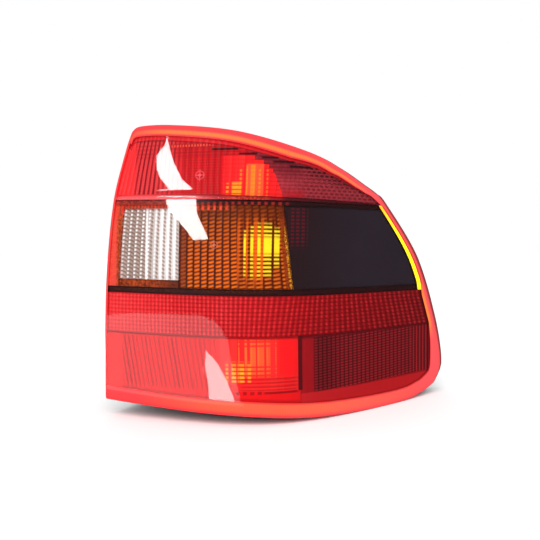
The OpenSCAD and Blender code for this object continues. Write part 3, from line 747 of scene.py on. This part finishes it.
# %% [markdown]
# ## Colours inside the lens
# Behind the clear skin the optics carry the colour. The light and shade of the bulb's bowl seen through
# the prisms are painted into that colour, in blocks: each prism is painted bright or dark as a whole, with a thin
# groove of painted shade round it.
# The paint therefore asks which prism a facet is in (`cell`) and how far through it the point lies (`lay`).

# %% Shared shades
def optic(paint, rough=0.32, glow=0.15):
    """Tinted acrylic whose colour is also given off as a painted glow (emission), for light coming through from
    behind.
    """
    return paint.principled(Base_Color=paint.colour, Roughness=rough, Specular_IOR_Level=0.08,
                            Emission_Color=paint.colour, Emission_Strength=glow)


def scatter(value):
    """A different number from 0 to 1 for each whole number."""
    return ((value.floor() * 12.9898).sine() * 4375.85).fract()


def dots(x, z, step_x, step_z, soft=0.3):
    """A lattice of small soft dots."""
    return (x / step_x).fract().within(0.2, 0.75, soft) * (z / step_z).fract().within(0.2, 0.75, soft)


def star(x, z, at_x, at_z, size):
    """A small four-armed mould mark: thin arms that narrow to their tips, and a faint ring round them."""
    dx, dz = abs(x - at_x), abs(z - at_z)
    arms = (dx * dz).below(0.7, 0.6) * dx.below(size * 0.7, 1) * dz.below(size, 1)
    away = dx * dx + dz * dz
    return (arms + away.within(size * size * 0.3, size * size * 0.55, 1.5) * 0.45).clamp()


# %% Upper red field
def upper_red():
    paint = Paint("upper red optics")
    x, _, z = paint.place()
    u, v, _ = paint.note("lay")
    luck = scatter(u)
    tier = (z - 96.92) / 3.95
    rise, row_z = tier.fract(), tier.floor() * 3.95 + 98.9
    cloud = paint.noise(420.0, 2.0)
    grain = dots(x, z, 2.9, 2.5)
    paint.colour = paint.mix(luck, (196, 20, 28), (218, 30, 38))
    paint.over(grain * 0.6, (140, 12, 20))
    # painted shade in the grooves between the flutes
    paint.over(u.groove(0.14) * 0.7, (160, 14, 22))
    # alternate flutes in the inboard part painted light and dark: painted light and shade of the flutes
    flute_light_zone = x.within(-69, -24, 12)
    flute_shade = u.fract().above(0.5, 0.25) * (0.55 + luck * 0.45)
    paint.over(flute_light_zone * (1 - flute_shade) * 0.7, (240, 66, 70))
    paint.over(flute_light_zone * flute_shade * (0.7 + grain * 0.3), (98, 22, 32))
    left = x.below(-68.5, 3)
    paint.over(left, (242, 52, 55))
    paint.over(left * (abs(x + 77.5 - (z - 66) * 0.12).below(0.7, 1.2)) * 0.5, (206, 34, 42))
    # painted shade in the row grooves of the top rows
    paint.over(row_z.above(105) * x.above(-66, 8) * rise.groove(0.45) * 0.5, (150, 16, 24))
    # a row of painted glints with dark gaps between them
    glint_row = x.within(-40, 8, 8) * (z - 115.2).within(-1.1, 1.1, 0.5)
    paint.over(glint_row * (x / 2.9).fract().within(0.3, 0.8, 0.2), (238, 84, 60))
    paint.over(glint_row * (x / 2.9).fract().within(0.85, 1.2, 0.2), (90, 12, 18))
    band = v.above(7.45, 0.12)
    paint.over(band, (222, 34, 44))
    paint.over(v.within(7.3, 7.5, 0.1) * 0.7, (130, 16, 26))
    slant = x + (z - 66.8) * 0.33
    top_edge = 103.4 - (x - 44).most(0) ** 2 * 0.032
    inside = row_z.below(top_edge) * slant.below(72.4, 0.6)
    plateau = inside * x.above(20.5, 5).clamp()
    fill = paint.mix(luck, (240, 26, 34), (252, 50, 48))
    # painted shade in the grooves of the plateau
    fill = paint.mix(rise.groove(0.3) * 0.5 + u.groove(0.12) * 0.4, fill, (206, 20, 28))
    # painted light of the bulb's bowl seen through the prisms: an orange patch, then bright beads and blocks
    fill = paint.mix(x.within(41.6, 56.4, 0.8) * z.below(97, 1), fill, (255, 92, 56))
    paint.over(plateau, fill)
    bulb_glow = 0.0
    for at, half, top, strength in ((36.9, 0.9, 92, 0.8), (42.3, 0.7, 95, 0.9), (47.4, 1.8, 96, 1.0),
                                    (53.0, 0.9, 92, 0.9), (31, 0.8, 79, 0.6), (59.3, 0.7, 92, 0.5)):
        beads = rise.within(0.25, 0.85, 0.25).most(1 - abs(at - 45) * 0.12)
        bulb_glow = x.within(at - half, at + half, 0.7) * z.below(top, 2) * beads * strength + bulb_glow
    paint.over((bulb_glow * plateau).clamp(), (255, 146, 40))
    lit_block = x.within(29.5, 37.5, 1.2) * z.below(80, 3) * rise.within(0.2, 0.9, 0.25)
    lit_block = lit_block + x.within(24.4, 26.4, 0.8) * z.below(79, 2) * rise.within(0.3, 0.8, 0.2)
    paint.over(lit_block * plateau * 0.9, (255, 176, 38))
    beyond = (1 - inside) * x.above(46, 10) * (1 - band)
    lattice = (x / 3.7 + tier.floor() * 0.5).fract().within(0.2, 0.85, 0.3) * (z / 3.3).fract().within(0.35,
                                                                                                       0.95,
                                                                                                       0.3)
    lattice = lattice.least(x.above(84, 16)).most((z / 3.3).fract().within(0.4, 0.8, 0.3) * x.below(100,
                                                                                                    16) * 0.6)
    near_rim = v.above(5.4, 2.5)
    far = paint.mix(cloud, (142, 42, 52), (214, 76, 88))
    far = paint.mix(lattice * (0.6 + near_rim * 0.4), far, (40, 14, 20))
    far = paint.mix(near_rim * x.above(88, 20) * x.below(128, 16) * 0.35, far, (44, 18, 24))
    far = paint.mix(z.below(73, 6) * x.within(72, 88, 6) * 0.6, far, (196, 24, 36))
    far = paint.mix(x.below(84, 8) * z.above(86, 10) * 0.6, far, (92, 22, 32))
    paint.over(beyond.clamp() * 0.95, far)
    # dark bars stepping down outboard: prism rows in painted shadow
    for start, end, height in ((9, 34, 111), (34.6, 50.4, 106.5), (54, 67.6, 103), (63.6, 80, 99.5),
                               (76, 92, 95.5)):
        shaded_row = x.within(start, end, 1.5) * abs(z - height).below(1.0, 0.5)
        paint.over(shaded_row * 0.9, (38, 14, 20))
    paint.over(star(x, z, -1.1, 87.2, 6.0) * 0.6, (255, 130, 138))
    return optic(paint)


def rib_red():
    paint = Paint("red under the rib")
    x, _, _ = paint.place()
    fleck = paint.noise(500.0, 1.0)
    # pale pink inboard, darkening to red outboard: a painted reflection of the rib; the orange flecks over the bulb
    # are painted glints
    paint.colour = paint.mix(x.above(4, 60), (236, 92, 96), (160, 32, 40))
    paint.over(x.within(26, 60, 10) * fleck.above(0.52, 0.3) * 0.5, (240, 104, 56))
    paint.over(x.above(73, 6), (104, 32, 40))
    return optic(paint, 0.2)


# %% Reflex strip and lower red field
def reflex_red():
    paint = Paint("reflex prisms")
    x, _, z = paint.place()
    u, v, _ = paint.note("lay")
    _, _, chance = paint.note("cell")
    # each prism painted bright or dark at random: painted sparkle of the prisms, both shades darker outboard
    bright = paint.mix(x.above(10, 140), (250, 76, 80), (240, 44, 52))
    bright = paint.mix(x.above(125, 110), bright, (214, 50, 58))
    dark = paint.mix(x.above(40, 160), (208, 32, 38), (168, 16, 22))
    dark = paint.mix(x.above(125, 110), dark, (130, 16, 22))
    stroke = u.fract().within(0.3, 0.72, 0.25) * v.fract().within(0.12, 0.85, 0.25)
    paint.colour = paint.mix(stroke * (0.45 + chance * 0.5), dark, bright)
    # painted shade in the corners between the prisms
    corner_shade = u.groove(0.4) * v.groove(0.4)
    paint.over(corner_shade * 0.7, (110, 6, 12))
    # a painted pink sheen over the inboard end
    paint.over(x.below(-50, 70) * 0.55, (238, 58, 62))
    return optic(paint, glow=0.15)


def lower_red():
    paint = Paint("lower red optics")
    x, _, z = paint.place()
    u, v, _ = paint.note("lay")
    luck = scatter(u)
    line = (x + z * 0.15) / 4.6
    share = scatter(line)
    paint.colour = paint.mix(luck * 0.5, (242, 24, 28), (232, 20, 26))
    slanted = line.groove(0.42) * (0.35 + share * 0.65) * z.above(-112, 4) * z.below(-64, 3)
    paint.over(x.within(-82, 16, 6) * slanted * 0.8, (128, 6, 14))
    paint.over(x.below(-82, 4), (246, 34, 38))
    # painted shade in the grooves between the flutes
    paint.over(x.within(-12, 20, 8) * (x / 2.9).fract().groove(0.3) * 0.4, (186, 16, 24))
    ahead = x.within(20, 84.5, 0.8) * z.above(-113, 1)
    fill = paint.mix(luck, (248, 34, 38), (255, 58, 54))
    # painted shade in the row grooves
    fill = paint.mix((z / 2.1).fract().groove(0.4) * 0.35, fill, (214, 22, 28))
    paint.over(ahead, fill)
    # columns of painted light from the bulb's bowl seen through the prisms
    step = (z + 86.2) / 3.9
    bead = step.fract().within(0.3, 0.85, 0.25)
    bulb_glow = 0.0
    for start, end, strength in ((36.7, 37.5, 0.7), (42.2, 44.2, 0.8), (46.9, 51.6, 0.75), (52.8, 58.4, 0.7),
                                 (60.1, 63.4, 0.5), (67.4, 68, 0.4)):
        edge = x.within(start, start + 1.6, 0.6) * 0.3
        bulb_glow = x.within(start, end, 0.6) * (strength + edge) + bulb_glow
    bulb_glow = bulb_glow * z.within(-99, -65, 3) * bead.most(z.within(-88, -72, 4))
    paint.over(bulb_glow.clamp() * 0.85, (255, 128, 58))
    # painted yellow glints over the bulb
    painted_glints = 0.0
    for at, half, strength in ((26.2, 1.2, 0.8), (32.4, 2.0, 0.95), (36.5, 0.8, 0.6), (39.6, 2.0, 1.0),
                               (45.8, 1.4, 0.8)):
        painted_glints = x.within(at - half, at + half, 0.8) * strength + painted_glints
    painted_glints = painted_glints * bead * z.within(-104, -85, 2) * (0.55 + z.below(-91, 5) * 0.45)
    paint.over(painted_glints.clamp(), (255, 204, 44))
    # painted shade in the grooves between the lower rows
    ripples = (z / 3.5).fract().groove(0.45) * z.within(-113, -99, 3) * x.within(38, 84, 6)
    paint.over(ripples * 0.7, (176, 16, 24))
    paint.over(x.within(70, 84.5, 3) * z.above(-99, 6) * 0.9, (255, 28, 34))
    paint.over(x.within(58, 84, 3) * abs(z + 114.6).below(1.0, 0.6) * 0.8, (130, 18, 26))
    knots = x.within(8, 58, 4) * (z + 114.4).within(-1.6, 1.4, 0.6) * (x / 6.4).fract().within(0.25, 0.75,
                                                                                               0.2)
    paint.over(knots * 0.8, (150, 18, 24))
    # darker along the lowest row: painted shade in the gap next to the rim
    paint.over(v.below(0.35, 0.3) * x.above(-84, 4) * 0.5, (176, 22, 30))
    right = x.above(85.8, 0.6)
    paint.over(right, (176, 22, 32))
    cell_x, cell_z = x / 3.1, (z - x * 0.1) / 2.7
    lattice = cell_x.fract().within(0.12, 0.82, 0.25) * cell_z.fract().within(0.15, 0.8, 0.3)
    grid = paint.mix(lattice, (86, 16, 22), (180, 40, 48))
    grid = paint.mix(x.within(96, 112, 10) * 0.35, grid, (60, 14, 22))
    ends = paint.mix((x / 2.7).fract().within(0.2, 0.6, 0.2), (88, 14, 22), (206, 44, 52))
    grid = paint.mix(x.above(170, 8) * 0.8, grid, ends)
    in_grid = x.above(96, 1.2) * (z - 0.02 * (x - 96)).above(-117.5, 1.5) * z.below(-64.5, 1)
    paint.over(in_grid, grid)
    paint.over(x.within(84.5, 87.4, 0.6) * z.above(-114, 1), (96, 16, 24))
    foot = z.below(-117.5, 1.5) * x.above(86, 2)
    paint.over(foot, (212, 36, 42))
    paint.over(v.above(9.6, 0.3) * x.below(84, 6) * 0.85, (160, 16, 24))
    paint.over(z.within(-65.5, -61, 1.2) * x.above(84, 4) * 0.6, (90, 16, 24))
    paint.over(star(x, z, 6.5, -93.1, 5.5) * 0.6, (255, 120, 124))
    return optic(paint)


# %% Amber field and its borders
def amber_field():
    paint = Paint("amber optics")
    x, _, z = paint.place()
    u, v, _ = paint.note("lay")
    luck = scatter(u)
    across = u.fract()
    # a bright dash on each pillow: painted light from the bowl, stronger lower down
    woven = (v - across * 0.45).fract()
    lit_pillow = woven.within(0.16, 0.68, 0.32) * across.within(0.14, 0.88, 0.2)
    low = 0.45 + z.below(30, 50) * 0.55
    dim = paint.mix(luck, (124, 44, 12), (92, 32, 10))
    paint.colour = paint.mix(lit_pillow * low * (0.85 + luck * 0.15), dim, (250, 118, 20))
    # painted shade in the grooves, weaker outboard
    paint.over(u.groove(0.2) * (0.9 - x.above(30, 30) * 0.5), (50, 18, 16))
    paint.over(x.below(-12, 4) * 0.6, (96, 36, 24))
    bead = v.fract().within(0.3, 0.78, 0.25)
    # painted shade between the beads round the bulb
    bead_gap_shade = x.within(34, 70, 10) * z.within(-24, 50, 14)
    paint.over(bead_gap_shade * (1 - bead) * 0.5, (70, 24, 10))
    # columns of painted light from the bulb's bowl, then painted dark columns between them
    lit_columns = z.within(-12, 46, 20) * (0.75 + bead * 0.25)
    for start, end, strength in ((35.4, 37.4, 0.7), (43.0, 44.6, 0.9), (49.3, 52.4, 0.95),
                                 (55.2, 57.6, 0.95)):
        paint.over(x.within(start, end, 0.6) * lit_columns * strength, (240, 104, 20))
    for start, end in ((38.2, 40.6), (44.8, 46.5)):
        paint.over(x.within(start, end, 0.6) * lit_columns * (0.5 + 0.4 * (1 - bead)), (70, 24, 12))
    # yellow columns of painted light over the bulb, and a painted dark column beside them
    solid = z.within(14, 30, 4)
    for start, end, low_z, high_z in ((41.0, 43.0, -6, 36), (46.7, 49.3, -8, 40), (52.5, 55.2, -8, 42),
                                      (57.6, 64.2, -6, 42), (65.8, 70.2, 2, 38)):
        glow = x.within(start, end, 0.5) * z.within(low_z, high_z, 3) * bead.most(solid)
        paint.over(glow, (255, 234, 40))
    paint.over(x.within(64.0, 65.8, 0.5) * z.within(-4, 48, 8), (92, 30, 12))
    tilt = x + (z - 22) * 0.1
    noise = paint.noise(900.0, 2.0)
    border = paint.mix(noise.above(0.5, 0.3), (96, 34, 14), (180, 72, 22))
    paint.over(tilt.above(71.6, 0.8) * 0.92, border)
    glint = tilt.within(74.6, 79.5, 0.8) * z.below(34, 16) * noise.above(0.52, 0.15)
    paint.over(glint, (255, 190, 40))
    paint.over(z.above(47, 6) * 0.5, (88, 30, 14))
    paint.over(z.above(54.5, 1.0) * x.below(28, 12) * (x / 5.6).fract().within(0.3, 0.75, 0.15),
               (236, 76, 48))
    paint.over(star(x, z, 14.4, 22.5, 5.0) * 0.6, (240, 140, 110))
    return optic(paint, 0.28, 0.2)


def amber_border():
    paint = Paint("amber border")
    x, _, z = paint.place()
    fleck = paint.noise(420.0, 2.0)
    paint.colour = paint.mix(fleck, (206, 56, 50), (240, 94, 72))
    low = paint.mix(fleck.above(0.5, 0.3), (112, 40, 18), (190, 78, 28))
    low = paint.mix(x.above(-42, 30) * 0.7, low, (112, 44, 20))
    paint.over(x.above(-86, 3), low)
    top = z.above(50, 6)
    paint.over(top * (x / 3.6).fract().within(0.2, 0.7, 0.3) * 0.8, (226, 58, 44))
    paint.over(x.above(-30, 8) * z.below(40, 8) * 0.6, (84, 32, 18))
    paint.over(x.within(-98, -96.4, 0.8) * 0.5, (150, 50, 44))
    return optic(paint, glow=0.28)


# %% Clear window
def clear_window():
    paint = Paint("clear optics")
    x, _, z = paint.place()
    u, v, _ = paint.note("lay")
    luck = scatter(u)
    along = u.fract()
    braid = (v + along * 0.9).fract()
    right = x.above(-48, 16)
    paint.colour = paint.mix(luck, (190, 168, 158), (176, 152, 142))
    paint.over(braid.within(0.12, 0.5, 0.3) * 0.85, (122, 100, 90))
    # bright white flutes: painted glints of the bowl behind the clear window
    white = along.within(0.04, 0.3, 0.12) * v.fract().within(0.2, 0.72, 0.25).most(right)
    white = white.most(right * (1 - along.within(0.36, 0.8, 0.2) * (1 - braid.within(0.4, 0.75, 0.3) * 0.4)))
    paint.over(white, (255, 252, 252))
    # painted shade at the edge of each flute
    paint.over(along.above(0.93, 0.1) * 0.6, (112, 90, 82))
    # a painted white glint down one column
    paint.over(x.within(-54.8, -52.2, 0.8) * 0.95, (255, 255, 255))
    paint.over(x.below(-81, 3) * braid.within(0.3, 0.8, 0.2) * 0.7, (222, 96, 84))
    return optic(paint, 0.2, 0.1)


# %% Smoke wing, dark lines and bright edge
def smoke_wing():
    paint = Paint("smoke optics")
    x, _, z = paint.place()
    cloud = paint.noise(26.0, 2.0)
    paint.colour = paint.mix(x.above(100, 60), (50, 31, 34), (58, 46, 56))
    paint.over(cloud * x.above(110, 40) * 0.6, (68, 55, 66))
    paint.over(dots(x, z, 4.2, 3.3) * x.below(104, 16) * 0.5, (66, 34, 34))
    flecks = x.within(77, 91, 1) * z.within(22, 58, 8) * dots(x, z, 3.9, 3.4, 0.2)
    paint.over(flecks * 0.7, (140, 24, 42))
    return optic(paint, 0.3, 0.1)


def dark_line():
    paint = Paint("dark line")
    x, _, z = paint.place()
    fleck = paint.noise(520.0, 2.0)
    paint.colour = paint.mix(fleck, (70, 30, 30), (40, 20, 22))
    above = z.above(20, 1)
    warm = above * x.below(-17, 4)
    paint.over(warm * 0.85, paint.mix(fleck.above(0.5, 0.3), (126, 40, 38), (204, 70, 52)))
    paint.over(above * x.below(-86, 3) * 0.85, (226, 70, 60))
    beads = above * x.within(-17, 76, 6) * z.below(62, 1) * (x / 5.6).fract().within(0.3, 0.75, 0.2)
    paint.over(beads * 0.8, (190, 50, 44))
    paint.over((1 - above) * x.below(70, 10) * z.above(-21.6, 1) * fleck.above(0.55, 0.2) * 0.5,
               (104, 52, 28))
    return optic(paint, 0.3, 0.12)


def bright_edge():
    paint = Paint("bright amber edge")
    _, _, z = paint.place()
    paint.colour = paint.mix(z.above(46, 30), (255, 232, 46), (255, 190, 52))
    paint.over((z / 3.4).fract().groove(0.2) * 0.2, (240, 170, 30))
    # the edge gives off its colour as a strong painted glow
    return optic(paint, 0.3, 0.8)


# %% Rolled rim
def rim_red():
    paint = Paint("rolled red rim")
    x, _, z = paint.place()
    along, s, _ = paint.note("lay")
    fine = (along / 1.25).fract().groove(0.5)
    flat = abs(z).above(78, 10) * x.below(176, 10)
    paint.colour = paint.mix(x.above(100, 60), (255, 58, 62), (244, 74, 78))
    paint.over(flat * s.within(0.08, 0.9, 0.15) * fine * 0.35, (226, 36, 42))
    # a painted orange highlight along the crest of the rolled rim
    line = flat * z.above(0) * s.within(0.16, 0.5, 0.16) * x.within(-60, 160, 50)
    line = line.most(flat * z.below(0) * s.within(0.05, 0.75, 0.2) * x.within(-20, 150, 90) * 0.5)
    paint.over(line * (0.8 - fine * 0.4), (255, 126, 48))
    # painted shade in the gap between the rim and the optics
    inner = s.below(0.1, 0.08) * x.above(-88, 8)
    paint.over(inner * 0.6, (176, 22, 30))
    under_strip = s.below(0.5, 0.4) * x.above(150, 10) * z.within(-70, -22, 24)
    paint.over(under_strip, (255, 124, 50))
    side_mid = x.below(-90, 4) * z.within(-24, 62, 2) * s.above(0.45, 0.3)
    paint.over(side_mid * 0.85, (84, 26, 26))
    wing = x.above(140, 6) * z.within(-20, 62, 4)
    paint.over(wing * s.within(0.1, 0.55, 0.2) * 0.7, (150, 52, 34))
    paint.over(s.above(1.3, 0.5), (184, 26, 34))
    height = fine * s.within(0.05, 0.95, 0.1) * flat
    # the rim also gives off its colour as a faint painted glow
    return paint.principled(
        Base_Color=paint.colour, Roughness=0.35, Coat_Weight=0.6, Coat_Roughness=0.05, Specular_IOR_Level=0.2,
        Normal=paint.bump(height, 0.3, 0.0004), Emission_Color=paint.colour, Emission_Strength=0.16)


# %% [markdown]
# ## Putting the lens together
# Each colour shot becomes one piece: polished skin in front, walls at its edges and optics on its inner face.
# The red shot also carries the rim and skirt, as it does in the mould.

# %% Five shots of one lens
shells = [Shell() for _ in range(5)]
add_skin(shells)
rim_length = add_rim(shells[RED], 1)
print("rim is", round(float(rim_length)), "mm round")

SHOTS = [
    ("lens_red", RED, "red_lens", [rim_red(), upper_red(), rib_red(), reflex_red(), lower_red()]),
    ("lens_amber", AMBER, "amber_lens", [amber_field(), amber_border()]),
    ("lens_clear", CLEAR, "clear_lens", [clear_window()]),
    ("lens_smoke", SMOKE, "smoke_lens", [smoke_wing(), dark_line()]),
    ("lens_amber_edge", EDGE, "amber_edge", [bright_edge()]),
]
SEAM = 0.4  # mm by which the smoke optics stop short of the bright edge's wall
PATCHES = [
    (RED, 2, 3, (RIB_W, 1, 0.12, PLAIN_STEPS), (FIRST_X, TIP_X, 5.85, PILLOW_STEPS), (0.7, 0.0, 0.0)),
    (RED, 3, 3, (0, RIB_W, 0.04, PLAIN_STEPS), (FIRST_X, TIP_X, 5.6, PLAIN_STEPS), (0, 0, 0)),
    (RED, 4, 1, (0, 1, 0.1, PRISM_STEPS), (FIRST_X, TIP_X, 4.1, PRISM_STEPS), (0.4, 0.4, 1.0)),
    (RED, 5, 0, (0, 1, 0.1, PLAIN_STEPS), (FIRST_X, TIP_X, 5.6, PILLOW_STEPS), (0.12, 0.0, 0.0)),
    (AMBER, 1, 2, (DARK_W, TOP_DARK_W, 0.0425, ROW_STEPS), (AMBER_X, WING_X, 6.9, PILLOW_STEPS),
     (0.6, 0.3, 0.0)),
    (AMBER, 2, 2, (DARK_W, TOP_DARK_W, 0.04, ROW_STEPS), (FIRST_X, CLEAR_X, 3.0, PILLOW_STEPS),
     (0.2, 0.1, 0.0)),
    (AMBER, 2, 2, (DARK_W, WINDOW_W, 0.04, ROW_STEPS), (CLEAR_X, AMBER_X, 5.2, PILLOW_STEPS),
     (0.3, 0.2, 0.0)),
    (AMBER, 2, 2, (TOP_BORDER_W, TOP_DARK_W, 0.04, ROW_STEPS), (CLEAR_X, AMBER_X, 5.2, PILLOW_STEPS),
     (0.3, 0.2, 0.0)),
    (CLEAR, 1, 2, (WINDOW_W, TOP_BORDER_W, 0.042, ROW_STEPS), (CLEAR_X, AMBER_X, 7.8, PILLOW_STEPS),
     (0.6, 0.3, 0.2)),
    (SMOKE, 1, 2, (DARK_W, TOP_DARK_W, 0.06, PLAIN_STEPS), (WING_X, STRIP_X - SEAM, 4.4, PLAIN_STEPS),
     (0, 0, 0)),
    (SMOKE, 2, 2, (0, DARK_W, 0.07, PLAIN_STEPS), (FIRST_X, STRIP_X - SEAM, 5.0, PLAIN_STEPS), (0, 0, 0)),
    (SMOKE, 2, 2, (TOP_DARK_W, 1, 0.06, PLAIN_STEPS), (FIRST_X, STRIP_X - SEAM, 5.0, PLAIN_STEPS), (0, 0, 0)),
    (EDGE, 1, 2, (0, 1, 0.04, PLAIN_STEPS), (STRIP_X, TIP_X, 6.0, PILLOW_STEPS), (0.2, 0, 0.0)),
]
finishes = {shot: [SKIN] + extra for _, shot, _, extra in SHOTS}
for shot, slot, k, rows, cols, heights in PATCHES:
    smooth = cols[-1] is not PRISM_STEPS
    facets = raise_optics(shells[shot], slot, finishes[shot][slot], k, rows, cols, heights, smooth)
    print(f"shot {shot} band {k}: {facets} facets of optics")

for name, shot, slot_name, _ in SHOTS:
    piece = shells[shot].build("dressed_" + name, finishes[shot])
    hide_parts(name)
    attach(piece, BODY)
    print(piece.name, sum(len(p.vertices) - 2 for p in piece.data.polygons), "triangles")

# %% [markdown]
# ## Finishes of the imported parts
# The body, holder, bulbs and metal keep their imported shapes. Moulded plastic gets a fine spark-eroded grain and
# soft clouds of dust, foam gets pores, plated metal gets streaks, and glass stays clear.

# %% Moulded, foamed and plated finishes
def moulded(name, low, high, rough):
    paint = Paint(name)
    grain, cloud = paint.noise(2600.0, 2.0), paint.noise(22.0, 4.0)
    return paint.principled(Base_Color=paint.mix(cloud, low, high), Roughness=(cloud * 0.16 + rough),
                            Normal=paint.bump(grain, 0.35, 0.0003))


def foamed():
    paint = Paint("closed-cell foam")
    pores = paint.node("ShaderNodeTexVoronoi", inputs={
        "Vector": paint.node("ShaderNodeTexCoord").outputs["Object"], "Scale": 900.0})
    depth = Sum(paint, pores.outputs["Distance"])
    # darker in the pores: painted shade
    colour = paint.mix(depth.clamp(), (38, 38, 40), (66, 66, 68))
    return paint.principled(Base_Color=colour, Roughness=0.92, Normal=paint.bump(depth, 0.6, 0.0006))


def plated(name, low, high, rough, streak):
    paint = Paint(name)
    cloud, lines = paint.noise(60.0, 4.0), paint.noise(700.0, 2.0, streak)
    return paint.principled(Base_Color=paint.mix(cloud, low, high), Metallic=1.0,
                            Roughness=(lines * 0.18 + rough), Normal=paint.bump(lines, 0.12, 0.0002))


KIN = ("tail", "indicator", "reverse", "fog")
DRESS = {
    moulded("dark moulded body", (52, 52, 55), (68, 68, 71), 0.5): ["housing"],
    moulded("pale moulded holder", (212, 211, 205), (226, 225, 220), 0.42): ["bulb_carrier"],
    foamed(): ["body_gasket", "carrier_seal"],
    plated("metallised bowl", (216, 218, 222), (236, 238, 240), 0.06,
           (1, 1, 1)): ["reflector_" + k for k in KIN],
    plated("nickel-washed cap", (196, 182, 140), (214, 202, 168), 0.24,
           (1, 8, 1)): ["bulb_cap_" + k for k in KIN],
    plated("brass strip", (214, 178, 98), (226, 194, 118), 0.26, (6, 1, 1)):
        ["contact_" + k for k in KIN] + ["contact_earth"],
    plated("zinc-plated stud", (176, 178, 184), (200, 202, 206), 0.3,
           (1, 30, 1)): [f"stud_{i}" for i in (1, 2, 3, 4)],
    clear_finish("bulb glass", (120.0, 2.0), (0.03, 0.001), (0.8, 0.8, 0.8, 1), 0.02, (0.93, 0.95, 0.95, 1),
                 1.5): ["bulb_glass_" + k for k in KIN],
}
for finish, names in DRESS.items():
    for name in names:
        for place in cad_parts[name].material_slots:
            place.material = finish
    print(finish.name, "on", ", ".join(names))

# %% [markdown]
# ## Studio
# A white sweep, a soft lamp and the room's pale light keep the colours as they were mixed. Glossy acrylic needs
# something to mirror: a bent strip, a wedge and a weak low panel stand where the real studio's stood.

# %% Floor and background
FLOOR_Z = cad_box[0][2] - 0.0004


def plane(name, corners, material):
    mesh = bpy.data.meshes.new(name)
    mesh.from_pydata(corners, [], [tuple(range(len(corners)))])
    mesh.materials.append(material)
    obj = bpy.data.objects.new(name, mesh)
    bpy.context.scene.collection.objects.link(obj)
    return obj


def floor_finish():
    paint = Paint("white sweep")
    return paint.principled(Base_Color=(0.93, 0.93, 0.93, 1), Roughness=0.9, Specular_IOR_Level=0.0)


floor = plane("floor", [(-6, -6, FLOOR_Z), (6, -6, FLOOR_Z), (6, 6, FLOOR_Z), (-6, 6, FLOOR_Z)],
              floor_finish())
floor.visible_glossy = False

world = bpy.data.worlds.new("studio")
bpy.context.scene.world = world
world.use_nodes = True
world.node_tree.nodes.clear()
nodes, links = world.node_tree.nodes, world.node_tree.links
path = nodes.new("ShaderNodeLightPath")
white, room, mirror = (nodes.new("ShaderNodeBackground") for _ in range(3))
white.inputs["Color"].default_value = (1, 1, 1, 1)
room.inputs["Color"].default_value = (1, 1, 1, 1)
room.inputs["Strength"].default_value = 0.75
mirror.inputs["Color"].default_value = (0.95, 0.97, 1, 1)
mirror.inputs["Strength"].default_value = 0.06
by_camera, by_gloss = nodes.new("ShaderNodeMixShader"), nodes.new("ShaderNodeMixShader")
links.new(path.outputs["Is Glossy Ray"], by_gloss.inputs[0])
links.new(room.outputs[0], by_gloss.inputs[1])
links.new(mirror.outputs[0], by_gloss.inputs[2])
links.new(path.outputs["Is Camera Ray"], by_camera.inputs[0])
links.new(by_gloss.outputs[0], by_camera.inputs[1])
links.new(white.outputs[0], by_camera.inputs[2])
links.new(by_camera.outputs[0], nodes.new("ShaderNodeOutputWorld").inputs["Surface"])

# %% Lamp
def soft_sun(name, toward, strength, spread):
    """A very soft lamp, far away, so that the whole sweep is lit alike. toward points from the lamp to the part."""
    light = bpy.data.lights.new(name, "SUN")
    light.energy, light.angle = strength, math.radians(spread)
    obj = bpy.data.objects.new(name, light)
    bpy.context.scene.collection.objects.link(obj)
    obj.rotation_euler = mathutils.Vector(toward).to_track_quat("-Z", "Y").to_euler()
    obj.visible_glossy = False
    return obj


soft_sun("key", (-0.22, 1.0, -0.8), 2.6, 50)

# %% Panels that the acrylic mirrors
def glow(name, strength):
    paint = Paint(name)
    return paint.finish(paint.node("ShaderNodeEmission", inputs={"Strength": strength}).outputs[0])


PANEL_Y = -1.0


def panel(name, outline, strength, nearer=0.0):
    """A glowing panel that only mirrors see, standing at PANEL_Y; the outline is in metres, as x and z."""
    obj = plane(name, [(x, PANEL_Y + nearer, z) for x, z in outline], glow(name + " glow", strength))
    for way in ("camera", "diffuse", "transmission", "volume_scatter", "shadow"):
        setattr(obj, "visible_" + way, False)
    return obj


panel("strip_panel", [(-0.506, 0.551), (-0.505, 0.510), (-0.553, 0.466), (-0.544, 0.417), (-0.516, 0.372),
                      (-0.434, 0.306), (-0.467, 0.278), (-0.441, 0.237), (-0.350, 0.182), (-0.258, 0.126),
                      (-0.127, 0.1275), (-0.2375, 0.2225), (-0.256, 0.299), (-0.371, 0.3585), (-0.437, 0.427),
                      (-0.481, 0.498)], 24.0)
panel("wedge_panel", [(-0.150, -0.273), (-0.165, -0.329), (-0.139, -0.390), (-0.132, -0.518), (0.160, -0.533),
                      (0.175, -0.473), (0.0815, -0.397), (-0.023, -0.326)], 14.0, 0.004)
panel("low_panel", [(-1.3, -0.172), (-0.7645, -0.173), (-0.619, -0.156), (-0.421, -0.150), (-0.197, -0.146),
                    (-0.064, -0.165), (0.013, -0.190), (0.097, -0.2345), (0.132, -0.3095), (0.26, -0.47),
                    (0.3, -0.7), (-1.3, -0.7)], 1.9)

# %% Camera
AIM, CAMERA_AWAY, AZIMUTH, ELEVATION = (0.06656, -0.088, 0.0), 0.6064, 20.133, 2.175
camera_data = bpy.data.cameras.new("camera")
camera_data.sensor_fit, camera_data.sensor_width, camera_data.lens = "HORIZONTAL", 36.0, 44.81
camera = bpy.data.objects.new("camera", camera_data)
bpy.context.scene.collection.objects.link(camera)
a, e = math.radians(AZIMUTH), math.radians(ELEVATION)
camera.location = (AIM[0] + CAMERA_AWAY * math.sin(a) * math.cos(e),
                   AIM[1] - CAMERA_AWAY * math.cos(a) * math.cos(e),
                   AIM[2] + CAMERA_AWAY * math.sin(e))
camera.rotation_euler = (math.pi / 2 - e, 0, a)
bpy.context.scene.camera = camera
bpy.context.scene.view_settings.view_transform = "Standard"
